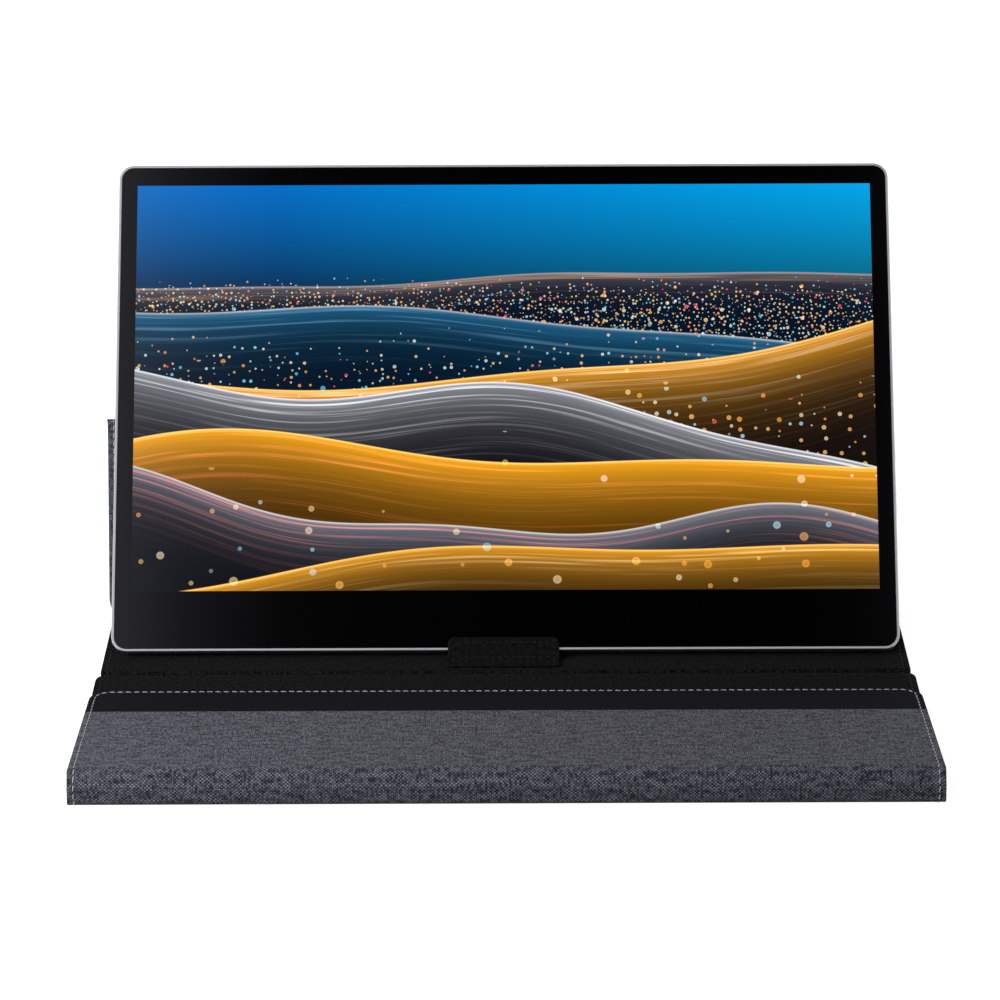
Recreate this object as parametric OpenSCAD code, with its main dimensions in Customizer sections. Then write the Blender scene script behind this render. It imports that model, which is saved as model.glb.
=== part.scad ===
// Portable monitor standing in its folded folio cover.
// Origin: on the table, on the centre line, below the edge the monitor stands on.
// X runs across the screen, -Y faces the viewer, +Z is up.

/* [Screen] */
// Width of the lit picture
screen_w = 344.2; // [310:0.1:370]
// Height of the lit picture
screen_h = 193.6; // [175:0.1:208]
// Border from the lit picture to the side of the monitor
bezel_side = 8.7; // [7:0.1:12]
// Border above the lit picture
bezel_top = 10; // [8:0.1:14]
// Border below the lit picture
bezel_chin = 28; // [26:0.1:34]
// Lean of the monitor back from upright, in degrees
lean = 34; // [29:0.5:38]

/* [Monitor housing] */
// Thickness of the monitor from glass to back
mon_t = 9; // [8.8:0.1:11]
// Corner radius of the monitor, seen from the front
mon_corner_r = 7; // [5:0.1:8]
// Radius along the rear edges of the metal shell
shell_edge_r = 2; // [1.2:0.1:2.4]
// Wall of the metal shell, seen as the bright rim round the glass
shell_wall = 1.2; // [0.9:0.05:1.5]
// Thickness of the metal shell's back
shell_floor = 1; // [0.8:0.05:1.2]
// How far the rim stays behind the front of the glass
rim_setback = 0.15; // [0.05:0.05:0.3]
// Chamfer along the rim's front edge
rim_chamfer = 0.3; // [0.1:0.05:0.4]

/* [Display stack] */
// Thickness of the cover glass
glass_t = 0.9; // [0.6:0.05:1.1]
// Gap round the cover glass inside the rim
glass_gap = 0.35; // [0.2:0.05:0.5]
// Thickness of the adhesive frame behind the glass
tape_t = 0.2; // [0.1:0.05:0.3]
// Thickness of the liquid crystal cell
cell_t = 1; // [0.8:0.05:1.1]
// Thickness of the stack of optical films
films_t = 0.6; // [0.4:0.05:0.7]
// Thickness of the light guide plate
guide_t = 0.8; // [0.6:0.05:0.9]
// Thickness of the reflector sheet
reflector_t = 0.2; // [0.1:0.05:0.25]
// Thickness of the sheet metal of the tray behind the stack
tray_t = 0.4; // [0.3:0.05:0.5]
// Dark margin of the cell beyond the lit picture, at the sides and top
cell_margin = 1.6; // [1:0.1:2]
// Dark margin of the cell below the lit picture, where its drivers sit
cell_chin = 7; // [5:0.1:8]
// Depth of the light bar along the light guide's lower edge
led_bar_h = 2.4; // [2:0.1:3]
// Play round the display stack in its tray and frame
stack_play = 0.15; // [0.1:0.05:0.25]

/* [Electronics] */
// Width of the main board
board_w = 96; // [80:1:104]
// Height of the main board
board_h = 62; // [58:1:70]
// Thickness of the circuit boards
pcb_t = 0.8; // [0.6:0.05:1]
// Height of the posts that carry the boards above the shell's back
post_h = 1.2; // [1:0.1:1.4]
// Radius of the posts
post_r = 2.2; // [2:0.1:2.6]
// Radius of the screw shanks
screw_r = 0.7; // [0.5:0.05:0.8]
// Radius of the screw heads
screw_head_r = 1.5; // [1.3:0.1:1.6]
// Height of the screw heads
screw_head_t = 0.5; // [0.4:0.05:0.6]
// Height of the lowest port above the bottom of the monitor
port_first_y = 58; // [54:1:62]
// Spacing of the ports up the left side
port_pitch = 16; // [14:0.5:17]
// Radius of the headphone socket's bore
jack_r = 1.75; // [1.7:0.05:1.8]
// Depth of the headphone socket's bore
jack_depth = 13; // [12:0.5:14]
// Width of one speaker
speaker_w = 34; // [28:1:40]

/* [Buttons] */
// Height of the power button above the bottom of the monitor
power_y = 92; // [88:1:96]
// Height of the menu rocker above the bottom of the monitor
rocker_y = 70; // [66:1:74]
// Length of the power button
power_len = 8; // [6:0.5:10]
// Length of the menu rocker
rocker_len = 15; // [12:0.5:18]
// Width of both buttons across the monitor's thickness
button_w = 2.4; // [2:0.1:2.6]
// How far both buttons stand out of the side wall
button_proud = 0.5; // [0.4:0.05:0.6]
// Gap round both buttons in the side wall
button_gap = 0.15; // [0.1:0.05:0.2]
// Travel of the power button
power_travel = 0.4; // [0.3:0.05:0.4]

/* [Cover] */
// Thickness of the woven outer canvas
canvas_t = 0.5; // [0.4:0.05:0.6]
// Thickness of the stiffening boards
board_t = 2; // [1.6:0.1:2.4]
// Thickness of the suede lining
lining_t = 0.5; // [0.4:0.05:0.6]
// How far the front cover reaches past each side of the monitor
cover_overhang = 5.2; // [3:0.1:7]
// How much narrower the rear cover is at each side
rear_inset = 1.5; // [0.5:0.1:3]
// Length of the panel that lies under the front flap
under_len = 125.8; // [118:0.1:134]
// Length of the narrow spine at the front
spine_len = 15.6; // [13:0.1:18]
// Lean of the spine back from upright, in degrees
spine_tilt = 18; // [8:1:24]
// How far the opened front cover reaches past the monitor's height
cover_reach = 7.2; // [2:0.1:10]
// Distance from the fold behind the under panel to the monitor's foot
groove_to_foot = 21.3; // [18.5:0.1:25]
// Length of the base panel that lies under the monitor
base_len = 130; // [120:1:140]
// Width of the smooth strip along the flap's free edge
strip_w = 27; // [18:0.1:30]
// Corner radius at the flap's free edge
flap_corner_r = 10; // [6:0.5:14]
// Corner radius of the under panel at the fold
under_corner_r = 6; // [3:0.5:8]
// Corner radius of the base panel at the fold
base_corner_r = 2; // [1:0.5:3]
// Radius along the outer edges of the cover
edge_r = 1.2; // [0.8:0.1:1.3]
// Radius along the lined edges of the cover
lined_edge_r = 0.45; // [0.2:0.05:0.5]
// Gap at each fold between one panel's canvas and the rolled edge of the next
fold_gap = 0.5; // [0.4:0.05:0.6]

/* [Tent] */
// Length of the tent's front panel
tent_front_len = 96; // [90:0.5:102]
// Distance from the monitor's foot back to the tent's foot
tent_foot_y = 34; // [30:0.5:40]
// Corner radius at the tent's foot
tent_corner_r = 12; // [4:0.5:14]
// How much narrower the tent is at each side than the base
tent_inset = 1.1; // [0.5:0.1:2]
// Sideways offset of the tent as it was set down
tent_shift = -2; // [-3:0.1:3]

/* [Tab] */
// Width of the tab that stops the monitor sliding forward
tab_w = 51; // [40:0.5:70]
// Offset of the tab from the centre line
tab_x = -0.9; // [-3:0.1:3]
// Length of the tab's foot
tab_foot_len = 5.8; // [5:0.1:7]
// Length of the tab's upright
tab_rise = 10.6; // [8:0.1:13]
// Thickness of the tab
tab_t = 1.4; // [1:0.05:1.6]
// Corner radius at the top of the tab
tab_top_r = 3; // [1:0.1:4]
// Corner radius at the foot of the tab
tab_foot_r = 1.8; // [1:0.1:2.4]
// Radius of the rolled crease at the tab's fold
tab_crease_r = 0.25; // [0.2:0.05:0.4]

/* [Magnets] */
// Length of each magnet
magnet_len = 22; // [16:1:30]
// Width of each magnet
magnet_w = 6; // [4:0.5:8]
// Thickness of each magnet
magnet_t = 1.4; // [1:0.1:1.5]
// Play round each magnet in its pocket
magnet_play = 0.1; // [0.05:0.05:0.2]

/* [Clearances] */
// Gap between parts that rest on one another
rest_gap = 0.1; // [0.05:0.05:0.2]
// Gap under the flap's free edge
flap_gap = 0.2; // [0.1:0.05:0.3]
// Gap between the monitor's back and the ridge of the tent
ridge_gap = 0.3; // [0.2:0.05:0.4]
// Gap between the tab and the glass
tab_gap = 0.35; // [0.3:0.05:0.5]
// Gap between parts inside the monitor
inner_gap = 0.1; // [0.05:0.05:0.2]

/* [Hidden] */
$fn = 64;
eps = 0.5; // overrun of a cutting shape past the face it cuts
hair = 0.01; // keeps a round end just short of a full half circle
thread_play = 0.03;
screw_end = 0.3; // from the shell's floor to the tip of a screw

// Monitor, in its own frame: x across, y up the screen, z out of the glass
mon_w = screen_w + 2 * bezel_side;
mon_h = screen_h + bezel_top + bezel_chin;
cavity_w = mon_w - 2 * shell_wall;
floor_z = shell_floor - mon_t;
tape_z = -glass_t - tape_t;
cell_z = tape_z - cell_t;
films_z = cell_z - films_t;
guide_z = films_z - guide_t;
reflector_z = guide_z - reflector_t;
tray_z = reflector_z - tray_t;
stack_x = screen_w / 2 + cell_margin;
stack_y0 = bezel_chin - cell_chin;
stack_y1 = bezel_chin + screen_h + cell_margin;
tray_x = stack_x + stack_play + tray_t;
tray_y0 = stack_y0 - stack_play - tray_t;
tray_y1 = stack_y1 + stack_play + tray_t;
pcb_z = floor_z + post_h;
pcb_top = pcb_z + pcb_t;

// Ports up the left side: [length, thickness] of each shell, in the standard sizes
usb_size = [8.94, 3.16];
hdmi_size = [10.4, 2.9];
port_lift = 0.25;
port_z = floor_z + port_lift + usb_size[1] / 2;
usb_ys = [port_first_y, port_first_y + port_pitch];
hdmi_y = port_first_y + 2 * port_pitch;
port_depth = 7.3;
port_wall = 0.3;
port_recess = 0.3;

// Headphone socket at the lower right corner: [length, width, height] of its body
jack_end = 1.5;
jack_size = [jack_depth + jack_end, 6.4, 4.4];
jack_nose_r = jack_r + 0.4;
jack_room = 1;
jack_z = floor_z + jack_size[2] / 2 + inner_gap;
jack_y = tray_y0 / 2;

// Frame behind the glass
frame_back_z = tray_z;
frame_front_z = tape_z;

// Buttons on the right side, and the board behind them
button_inside = mon_w / 2 - shell_wall;
button_z = frame_back_z - inner_gap - button_w / 2;
button_fit = 0.05;
button_flange = 0.8;
rocker_back = 0.4;
rocker_pin_in = 1.4;
rocker_pin_r = 0.5;
rocker_hub_r = 1.1;
switch_w = 3;
switch_gap = 0.25;
button_pad_h = 0.2;
button_pad_xy = [button_inside - 5, 4];
button_pcb_z = floor_z + button_pad_h;
button_pcb_w = 9;
button_pcb_end = 3;

// Cover, as a chain of panels in the Y-Z plane
panel_t = canvas_t + board_t + lining_t;
axis_w = canvas_t / 2;
cover_w = mon_w + 2 * cover_overhang;
rear_w = cover_w - 2 * rear_inset;
tent_w = rear_w - 2 * tent_inset;
flap_len = mon_h + cover_reach - spine_len - under_len;
up_dir = [sin(lean), cos(lean)];
back_dir = [cos(lean), -sin(lean)];
rear_edge = [0, panel_t + rest_gap + shell_edge_r];
mon_foot = rear_edge - (mon_t - shell_edge_r) * back_dir - shell_edge_r * up_dir;
groove_at = [-groove_to_foot, axis_w];
front_low_at = groove_at - [under_len, 0];
front_top_at = front_low_at + spine_len * [sin(spine_tilt), cos(spine_tilt)];
flap_drop_r = norm([flap_len, panel_t - axis_w]);
flap_drop = asin((front_top_at[1] - panel_t - flap_gap) / flap_drop_r)
  - atan((panel_t - axis_w) / flap_len);
flap_edge_at = front_top_at + flap_len * [cos(flap_drop), -sin(flap_drop)];
base_rear_at = groove_at + [base_len, 0];
tent_toe = [tent_foot_y, panel_t + rest_gap + lined_edge_r];
tent_toe_u = tent_front_len - lined_edge_r;
tent_toe_w = panel_t - lined_edge_r - axis_w;
ridge_line = mon_foot + (mon_t + ridge_gap + axis_w) * back_dir;
ridge_from_toe = ridge_line - tent_toe;
ridge_s = sqrt(pow(ridge_from_toe * up_dir, 2) - ridge_from_toe * ridge_from_toe
  + pow(tent_toe_u, 2) + pow(tent_toe_w, 2)) - ridge_from_toe * up_dir;
ridge_at = ridge_line + ridge_s * up_dir;
tent_rear_len = norm(ridge_at - base_rear_at);

// Direction of each panel, in degrees from +Y, with its lined side on the left
flap_dir = 180 - flap_drop;
spine_dir = 270 - spine_tilt;
tent_rear_dir = atan2(ridge_at[1] - base_rear_at[1], ridge_at[0] - base_rear_at[0]);
tent_front_dir = 360 + atan2(tent_toe[1] - ridge_at[1], tent_toe[0] - ridge_at[0])
  - atan(tent_toe_w / tent_toe_u);

// Slope of the lining beside each fold: under half the angle that the fold closes to
slope_margin = 1.5;
plain_slope = 30;
ridge_slope = (180 - tent_front_dir + tent_rear_dir) / 2 - slope_margin;
rear_slope = min(plain_slope, (180 - tent_rear_dir) / 2 - slope_margin);

// Tab
tab_axis_z = panel_t + tab_t;
tab_front = mon_foot - (tab_t + tab_gap) * back_dir;
tab_axis_y = tab_front[0] + (tab_axis_z - tab_front[1]) * tan(lean);
tab_miter = tab_t * tan((90 - lean) / 2);

// Places of the magnets across the cover and the screw posts of the shell
magnet_xs = [-cover_w / 3, 0, cover_w / 3];
magnet_edge = 9; // from a panel's free edge to the middle of its magnets
back_magnet_xs = [-mon_w / 8, mon_w / 8];
post_in = shell_wall + jack_size[0] + post_r + 2 * jack_room;
post_xs = [post_in - mon_w / 2, -mon_w / 6, mon_w / 6, mon_w / 2 - post_in];
post_low_y = 8;
post_top_y = post_low_y + post_r;
frame_post_ys = [post_low_y, (tray_y1 + mon_h - shell_wall) / 2];

// Main board behind the left side, with its posts clear of the ports
board_x0 = inner_gap - cavity_w / 2;
board_y0 = port_first_y - 10;
board_post_in = 4;
board_port_in = 12;
board_posts = [
  for (x = [board_x0 + board_w - board_post_in, board_x0 + board_port_in])
    for (y = [board_y0 + board_post_in, board_y0 + board_h - board_post_in])
      [x, y]
];

// Parts on the main board: [from its left edge, from its lower edge, width, height, thickness]
board_parts = [
  [24, 22, 20, 20, 1],
  [52, 26, 12, 12, 0.9],
  [28, board_h - 12, 7, 7, 0.8],
  [39, board_h - 12, 7, 7, 0.8],
  [50, board_h - 12, 7, 7, 0.8],
  [61, board_h - 12, 7, 7, 0.8]
];

// Flat cable from the main board's connector to the display's driver board
cable_t = 0.3;
cable_w = 18;
cable_z = frame_back_z - pcb_t - cable_t;
cable_x0 = board_x0 + board_w - board_post_in - 3 - cable_w;
cable_y0 = post_top_y + 5;
plug_in = 1;
plug_h = 4;

// Speakers along the bottom, with sound slots in the shell's back over each
speaker_x = mon_w / 2 - post_in - post_r - 1 - speaker_w / 2;
speaker_y0 = shell_wall + 0.8;
speaker_y1 = post_top_y + 4;
speaker_mid_y = (speaker_y0 + speaker_y1) / 2;
speaker_roof = 0.3;
cone_r = 4.4;
slot_n = 7;
slot_pitch = 3.6;
slot_w = 1.2;
slot_len = 8;

// ---------- Shared shapes ----------

// Material outside a round corner at [x, y], whose arc lies towards [sx, sy]
module corner_waste(x, y, sx, sy, r) {
  if (r > 0)
    translate([x + sx * r, y + sy * r])
      difference() {
        translate([sx > 0 ? -r - eps : 0, sy > 0 ? -r - eps : 0])
          square(r + eps);
        circle(r);
      }
}

// Rectangle from [x0, y0] to [x1, y1] with corner radii [low left, low right, top right, top left]
module round_rect(x0, y0, x1, y1, r) {
  difference() {
    translate([x0, y0])
      square([x1 - x0, y1 - y0]);
    corner_waste(x0, y0, 1, 1, r[0]);
    corner_waste(x1, y0, -1, 1, r[1]);
    corner_waste(x1, y1, -1, -1, r[2]);
    corner_waste(x0, y1, 1, -1, r[3]);
  }
}

// Plate standing on the monitor's outline, set in from it, from z0 to z1
module mon_plate(inset, z0, z1) {
  r = max(mon_corner_r - inset, 0.5);
  translate([0, 0, z0])
    linear_extrude(z1 - z0)
      round_rect(-mon_w / 2 + inset, inset, mon_w / 2 - inset, mon_h - inset, [r, r, r, r]);
}

// Slot of size [along x, along y] round its centre, with fully round ends
module round_slot(size) {
  r = min(size) / 2 - hair;
  round_rect(-size[0] / 2, -size[1] / 2, size[0] / 2, size[1] / 2, [r, r, r, r]);
}

// Plain block between two corners
module block(a, b) {
  translate(a)
    cube(b - a);
}

// Puts the monitor's frame where it stands
module on_monitor() {
  translate([0, mon_foot[0], mon_foot[1]])
    rotate([90 - lean, 0, 0])
      children();
}

// Puts a panel's frame on its fold: y along the panel, z from canvas to lining
module on_panel(at, dir) {
  translate([0, at[0], at[1]])
    rotate([dir, 0, 0])
      translate([0, 0, -axis_w])
        children();
}

// ---------- Monitor ----------

// Section of the shell's border, from the centre of a corner outwards
module shell_section() {
  rc = mon_corner_r;
  top = -rim_setback;
  difference() {
    translate([0, -mon_t])
      square([rc, top + mon_t]);
    corner_waste(rc, -mon_t, -1, 1, shell_edge_r);
    polygon([[rc - rim_chamfer, top], [rc, top - rim_chamfer], [rc + eps, top - rim_chamfer],
      [rc + eps, top + eps], [rc - rim_chamfer, top + eps]]);
  }
}

// Straight run of the border, along x, with its outer face towards -y
module shell_border(len) {
  rotate([90, 0, 90])
    linear_extrude(len)
      mirror([1, 0])
        shell_section();
}

// Solid with the shell's outer form, rounded along its rear edges
module shell_form() {
  rc = mon_corner_r;
  x = mon_w / 2 - rc;
  y = mon_h - 2 * rc;
  block([-x, rc, -mon_t], [x, mon_h - rc, -rim_setback]);
  translate([-x, rc, 0])
    shell_border(2 * x);
  translate([x, rc, 0])
    rotate([0, 0, 90])
      shell_border(y);
  translate([x, mon_h - rc, 0])
    rotate([0, 0, 180])
      shell_border(2 * x);
  translate([-x, mon_h - rc, 0])
    rotate([0, 0, 270])
      shell_border(y);
  for (corner = [[x, rc, 270], [x, mon_h - rc, 0], [-x, mon_h - rc, 90], [-x, rc, 180]])
    translate([corner[0], corner[1], 0])
      rotate([0, 0, corner[2]])
        rotate_extrude(angle = 90)
          shell_section();
}

// Rounded slot through a side wall, centred at height y, of size [length, thickness]
module wall_slot(side, y, z, size, gap) {
  translate([side * mon_w / 2, y, z])
    rotate([90, 0, 90])
      linear_extrude(3 * shell_wall, center = true)
        round_slot([size[0] + 2 * gap, size[1] + 2 * gap]);
}

module rear_shell() {
  color([0.76, 0.77, 0.79])
    on_monitor()
      difference() {
        union() {
          difference() {
            shell_form();
            mon_plate(shell_wall, floor_z, eps);
            wall_slot(-1, usb_ys[0], port_z, usb_size, inner_gap);
            wall_slot(-1, usb_ys[1], port_z, usb_size, inner_gap);
            wall_slot(-1, hdmi_y, port_z, hdmi_size, inner_gap);
            wall_slot(1, power_y, button_z, [power_len, button_w], button_gap);
            wall_slot(1, rocker_y, button_z, [rocker_len, button_w], button_gap);
            translate([mon_w / 2 - 2 * shell_wall, jack_y, jack_z])
              rotate([0, 90, 0])
                cylinder(r = jack_nose_r + inner_gap, h = 3 * shell_wall);
            for (x = [-speaker_x, speaker_x])
              for (i = [0:slot_n - 1])
                translate([x + (i - (slot_n - 1) / 2) * slot_pitch, speaker_mid_y, -mon_t - eps])
                  linear_extrude(shell_floor + 2 * eps)
                    round_slot([slot_w, slot_len]);
          }
          for (p = board_posts)
            translate([p[0], p[1], floor_z])
              cylinder(r = post_r, h = post_h);
          for (x = post_xs)
            for (y = frame_post_ys)
              translate([x, y, floor_z])
                cylinder(r = post_r, h = frame_back_z - floor_z);
          for (y = [rocker_y - button_pad_xy[1], power_y + button_pad_xy[1]])
            translate([button_pad_xy[0], y, floor_z])
              cylinder(r = post_r, h = button_pad_h);
        }
        for (p = board_posts)
          translate([p[0], p[1], floor_z])
            cylinder(r = screw_r, h = post_h + eps);
        for (x = post_xs)
          for (y = frame_post_ys)
            translate([x, y, floor_z])
              cylinder(r = screw_r, h = mon_t);
      }
}

module mid_frame() {
  gap = shell_wall + inner_gap;
  seat = screw_head_t + inner_gap;
  jack_side = jack_size[1] / 2 + jack_room;
  color([0.12, 0.12, 0.13])
    on_monitor()
      difference() {
        mon_plate(gap, frame_back_z, frame_front_z);
        block([-tray_x - inner_gap, tray_y0 - inner_gap, frame_back_z - eps],
          [tray_x + inner_gap, tray_y1 + inner_gap, frame_front_z + eps]);
        for (x = post_xs)
          for (y = frame_post_ys)
            translate([x, y, frame_back_z - eps]) {
              cylinder(r = screw_r + inner_gap, h = mon_t);
              translate([0, 0, eps + frame_front_z - frame_back_z - seat])
                cylinder(r = screw_head_r + inner_gap, h = mon_t);
            }
        block([button_inside - jack_size[0] - jack_room, jack_y - jack_side, frame_back_z - eps],
          [mon_w / 2, jack_y + jack_side, jack_z + jack_size[2] / 2 + inner_gap]);
      }
}

// Screw with the underside of its head at the origin and its shank of length reach below
module screw(reach) {
  translate([0, 0, -reach])
    cylinder(r = screw_r - thread_play, h = reach);
  cylinder(r = screw_head_r, h = screw_head_t);
}

module frame_screws() {
  head_z = frame_front_z - screw_head_t - inner_gap;
  color([0.55, 0.56, 0.58])
    on_monitor()
      for (x = post_xs)
        for (y = frame_post_ys)
          translate([x, y, head_z])
            screw(head_z - floor_z - screw_end);
}

module cover_glass() {
  color([0.02, 0.02, 0.025])
    on_monitor()
      mon_plate(shell_wall + glass_gap, -glass_t, 0);
}

module glass_tape() {
  tape_in = 0.5;
  hole_x = screen_w / 2 + cell_margin / 2;
  hole_y0 = bezel_chin - cell_margin / 2;
  hole_y1 = bezel_chin + screen_h + cell_margin / 2;
  color([0.05, 0.05, 0.05])
    on_monitor()
      difference() {
        mon_plate(shell_wall + glass_gap + tape_in, tape_z, -glass_t);
        block([-hole_x, hole_y0, tape_z - eps], [hole_x, hole_y1, 0]);
      }
}

module lcd_cell() {
  color([0.08, 0.1, 0.14])
    on_monitor()
      block([-stack_x, stack_y0, cell_z], [stack_x, stack_y1, tape_z]);
}

module optical_films() {
  color([0.85, 0.87, 0.9])
    on_monitor()
      block([-stack_x, stack_y0, films_z], [stack_x, stack_y1, cell_z]);
}

module light_guide() {
  color([0.8, 0.9, 0.95])
    on_monitor()
      block([-stack_x, stack_y0 + led_bar_h + inner_gap, guide_z], [stack_x, stack_y1, films_z]);
}

module led_bar() {
  led_n = 44;
  led_w = 3.2;
  led_end = 5;
  led_pitch = 2 * (stack_x - led_end) / led_n;
  flex_h = 1;
  led_drop = 0.2;
  color([0.95, 0.93, 0.8])
    on_monitor() {
      block([-stack_x, stack_y0, guide_z], [stack_x, stack_y0 + flex_h, films_z - led_drop]);
      for (i = [0:led_n - 1])
        translate([(i - (led_n - 1) / 2) * led_pitch - led_w / 2, stack_y0 + flex_h, guide_z])
          cube([led_w, led_bar_h - flex_h, guide_t - led_drop]);
    }
}

module reflector() {
  color([0.95, 0.95, 0.96])
    on_monitor()
      block([-stack_x, stack_y0, reflector_z], [stack_x, stack_y1, guide_z]);
}

module lcd_tray() {
  bead_n = 3;
  bead_w = 12;
  bead_t = 0.4;
  bead_end = 20;
  bead_len = 2 * (stack_x - bead_end);
  bead_r = (pow(bead_w / 2, 2) + pow(bead_t, 2)) / (2 * bead_t);
  color([0.66, 0.67, 0.69])
    on_monitor()
      difference() {
        union() {
          block([-tray_x, tray_y0, tray_z], [tray_x, tray_y1, tape_z]);
          for (i = [1:bead_n])
            translate([-bead_len / 2, tray_y0 + i * (tray_y1 - tray_y0) / (bead_n + 1), tray_z])
              intersection() {
                translate([0, 0, bead_r - bead_t])
                  rotate([0, 90, 0])
                    cylinder(r = bead_r, h = bead_len, $fn = 128);
                block([0, -bead_w / 2, -bead_t], [bead_len, bead_w / 2, tray_t / 2]);
              }
        }
        block([-stack_x - stack_play, stack_y0 - stack_play, reflector_z],
          [stack_x + stack_play, stack_y1 + stack_play, eps]);
      }
}

module driver_board() {
  board_x = speaker_x - speaker_w / 2 - 3;
  y0 = post_top_y + 0.6;
  y1 = tray_y0 - 0.8;
  chip_n = 6;
  chip = [9, 3, 0.7];
  chip_x0 = cable_x0 + cable_w + chip[0];
  chip_pitch = (board_x - chip_x0) / chip_n;
  color([0.1, 0.3, 0.16])
    on_monitor() {
      block([-board_x, y0, frame_back_z - pcb_t], [board_x, y1, frame_back_z]);
      for (i = [0:chip_n - 1])
        translate([chip_x0 + i * chip_pitch, (y0 + y1 - chip[1]) / 2, frame_back_z - pcb_t - chip[2]])
          cube(chip);
    }
}

module main_board() {
  port_x = port_recess + port_depth - mon_w / 2 + inner_gap;
  color([0.08, 0.26, 0.14])
    on_monitor()
      difference() {
        union() {
          block([board_x0, board_y0, pcb_z], [board_x0 + board_w, board_y0 + board_h, pcb_top]);
          for (p = board_parts)
            translate([board_x0 + p[0], board_y0 + p[1], pcb_top])
              cube([p[2], p[3], p[4]]);
          block([cable_x0 - plug_in, board_y0 + plug_in, pcb_top],
            [cable_x0 + cable_w + plug_in, board_y0 + plug_in + plug_h, cable_z]);
        }
        for (port = [[usb_ys[0], usb_size], [usb_ys[1], usb_size], [hdmi_y, hdmi_size]])
          block([board_x0 - eps, port[0] - port[1][0] / 2 - inner_gap, pcb_z - eps],
            [port_x, port[0] + port[1][0] / 2 + inner_gap, pcb_top + eps]);
        for (p = board_posts)
          translate([p[0], p[1], pcb_z - eps])
            cylinder(r = screw_r + inner_gap, h = pcb_t + 2 * eps);
      }
}

module board_screws() {
  color([0.55, 0.56, 0.58])
    on_monitor()
      for (p = board_posts)
        translate([p[0], p[1], pcb_top])
          screw(pcb_top - floor_z - screw_end);
}

module display_cable() {
  x1 = cable_x0 + cable_w;
  y1 = board_y0 + plug_in + plug_h;
  chamfer = 4;
  color([0.75, 0.5, 0.15])
    on_monitor()
      translate([0, 0, cable_z])
        linear_extrude(cable_t)
          polygon([
            [cable_x0 + chamfer, cable_y0], [x1 - chamfer, cable_y0],
            [x1, cable_y0 + chamfer], [x1, y1], [cable_x0, y1], [cable_x0, cable_y0 + chamfer]
          ]);
}

// Metal shell of a port, its mouth at x = 0 and its body towards +x, with a tongue inside
module port_shell(size, tongue) {
  end = port_depth - 1;
  tongue_in = 0.8;
  difference() {
    rotate([90, 0, 90])
      linear_extrude(port_depth)
        round_slot(size);
    translate([-eps, 0, 0])
      rotate([90, 0, 90])
        linear_extrude(end + eps)
          round_slot([size[0] - 2 * port_wall, size[1] - 2 * port_wall]);
  }
  block([tongue_in, -tongue[0] / 2, -tongue[1] / 2], [end + port_wall, tongue[0] / 2, tongue[1] / 2]);
}

module usb_c_ports() {
  color([0.6, 0.61, 0.63])
    on_monitor()
      for (y = usb_ys)
        translate([-mon_w / 2 + port_recess, y, port_z])
          port_shell(usb_size, [6.7, 0.7]);
}

module mini_hdmi_port() {
  color([0.6, 0.61, 0.63])
    on_monitor()
      translate([-mon_w / 2 + port_recess, hdmi_y, port_z])
        port_shell(hdmi_size, [7.6, 0.6]);
}

module audio_jack() {
  color([0.1, 0.1, 0.11])
    on_monitor()
      translate([mon_w / 2, jack_y, jack_z])
        difference() {
          union() {
            block([-jack_size[0], -jack_size[1] / 2, -jack_size[2] / 2],
              [-shell_wall - inner_gap, jack_size[1] / 2, jack_size[2] / 2]);
            translate([-shell_wall - 2 * inner_gap, 0, 0])
              rotate([0, 90, 0])
                cylinder(r = jack_nose_r, h = shell_wall + inner_gap);
          }
          translate([-jack_depth - inner_gap, 0, 0])
            rotate([0, 90, 0])
              cylinder(r = jack_r, h = jack_depth + 2 * eps);
        }
}

module speakers() {
  top = frame_back_z - speaker_roof;
  cone_in = 1;
  color([0.14, 0.14, 0.15])
    on_monitor()
      for (s = [-1, 1])
        translate([s * speaker_x, 0, 0])
          difference() {
            block([-speaker_w / 2, speaker_y0, floor_z], [speaker_w / 2, speaker_y1, top]);
            for (x = [-1.6 * cone_r, 0, 1.6 * cone_r])
              translate([x, speaker_mid_y, floor_z - eps])
                cylinder(r = cone_r, h = cone_in + eps);
          }
}

module speaker_leads() {
  lead_r = 0.4;
  y1 = speaker_y1 + 6;
  x1 = 20 - speaker_x;
  board_edge = board_y0 - inner_gap;
  color([0.55, 0.1, 0.1])
    on_monitor()
      translate([0, 0, floor_z + lead_r]) {
        translate([-speaker_x, speaker_y1, 0])
          rotate([-90, 0, 0])
            cylinder(r = lead_r, h = board_edge - speaker_y1);
        translate([speaker_x, speaker_y1, 0])
          rotate([-90, 0, 0])
            cylinder(r = lead_r, h = y1 - speaker_y1);
        for (x = [x1, speaker_x])
          translate([x, y1, 0])
            sphere(lead_r);
        translate([x1, y1, 0])
          rotate([0, 90, 0])
            cylinder(r = lead_r, h = speaker_x - x1);
        translate([x1, y1, 0])
          rotate([-90, 0, 0])
            cylinder(r = lead_r, h = board_edge - y1);
      }
}

module back_magnets() {
  color([0.45, 0.45, 0.47])
    on_monitor()
      for (x = back_magnet_xs)
        block([x - magnet_len / 2, ridge_s - magnet_w / 2, floor_z],
          [x + magnet_len / 2, ridge_s + magnet_w / 2, floor_z + magnet_t]);
}

// Button seen from outside: a bar with round ends, from inner_x to its outer face
module button_bar(y, len, inner_x) {
  translate([inner_x, y, button_z])
    rotate([90, 0, 90])
      linear_extrude(mon_w / 2 + button_proud - inner_x)
        round_slot([len, button_w]);
}

module power_button() {
  flange_x = button_inside - button_fit;
  flange_y = power_len / 2 + button_flange;
  color([0.7, 0.71, 0.73])
    on_monitor() {
      button_bar(power_y, power_len, flange_x - button_flange);
      block([flange_x - button_flange, power_y - flange_y, button_z - button_w / 2],
        [flange_x, power_y + flange_y, button_z + button_w / 2]);
    }
}

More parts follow.
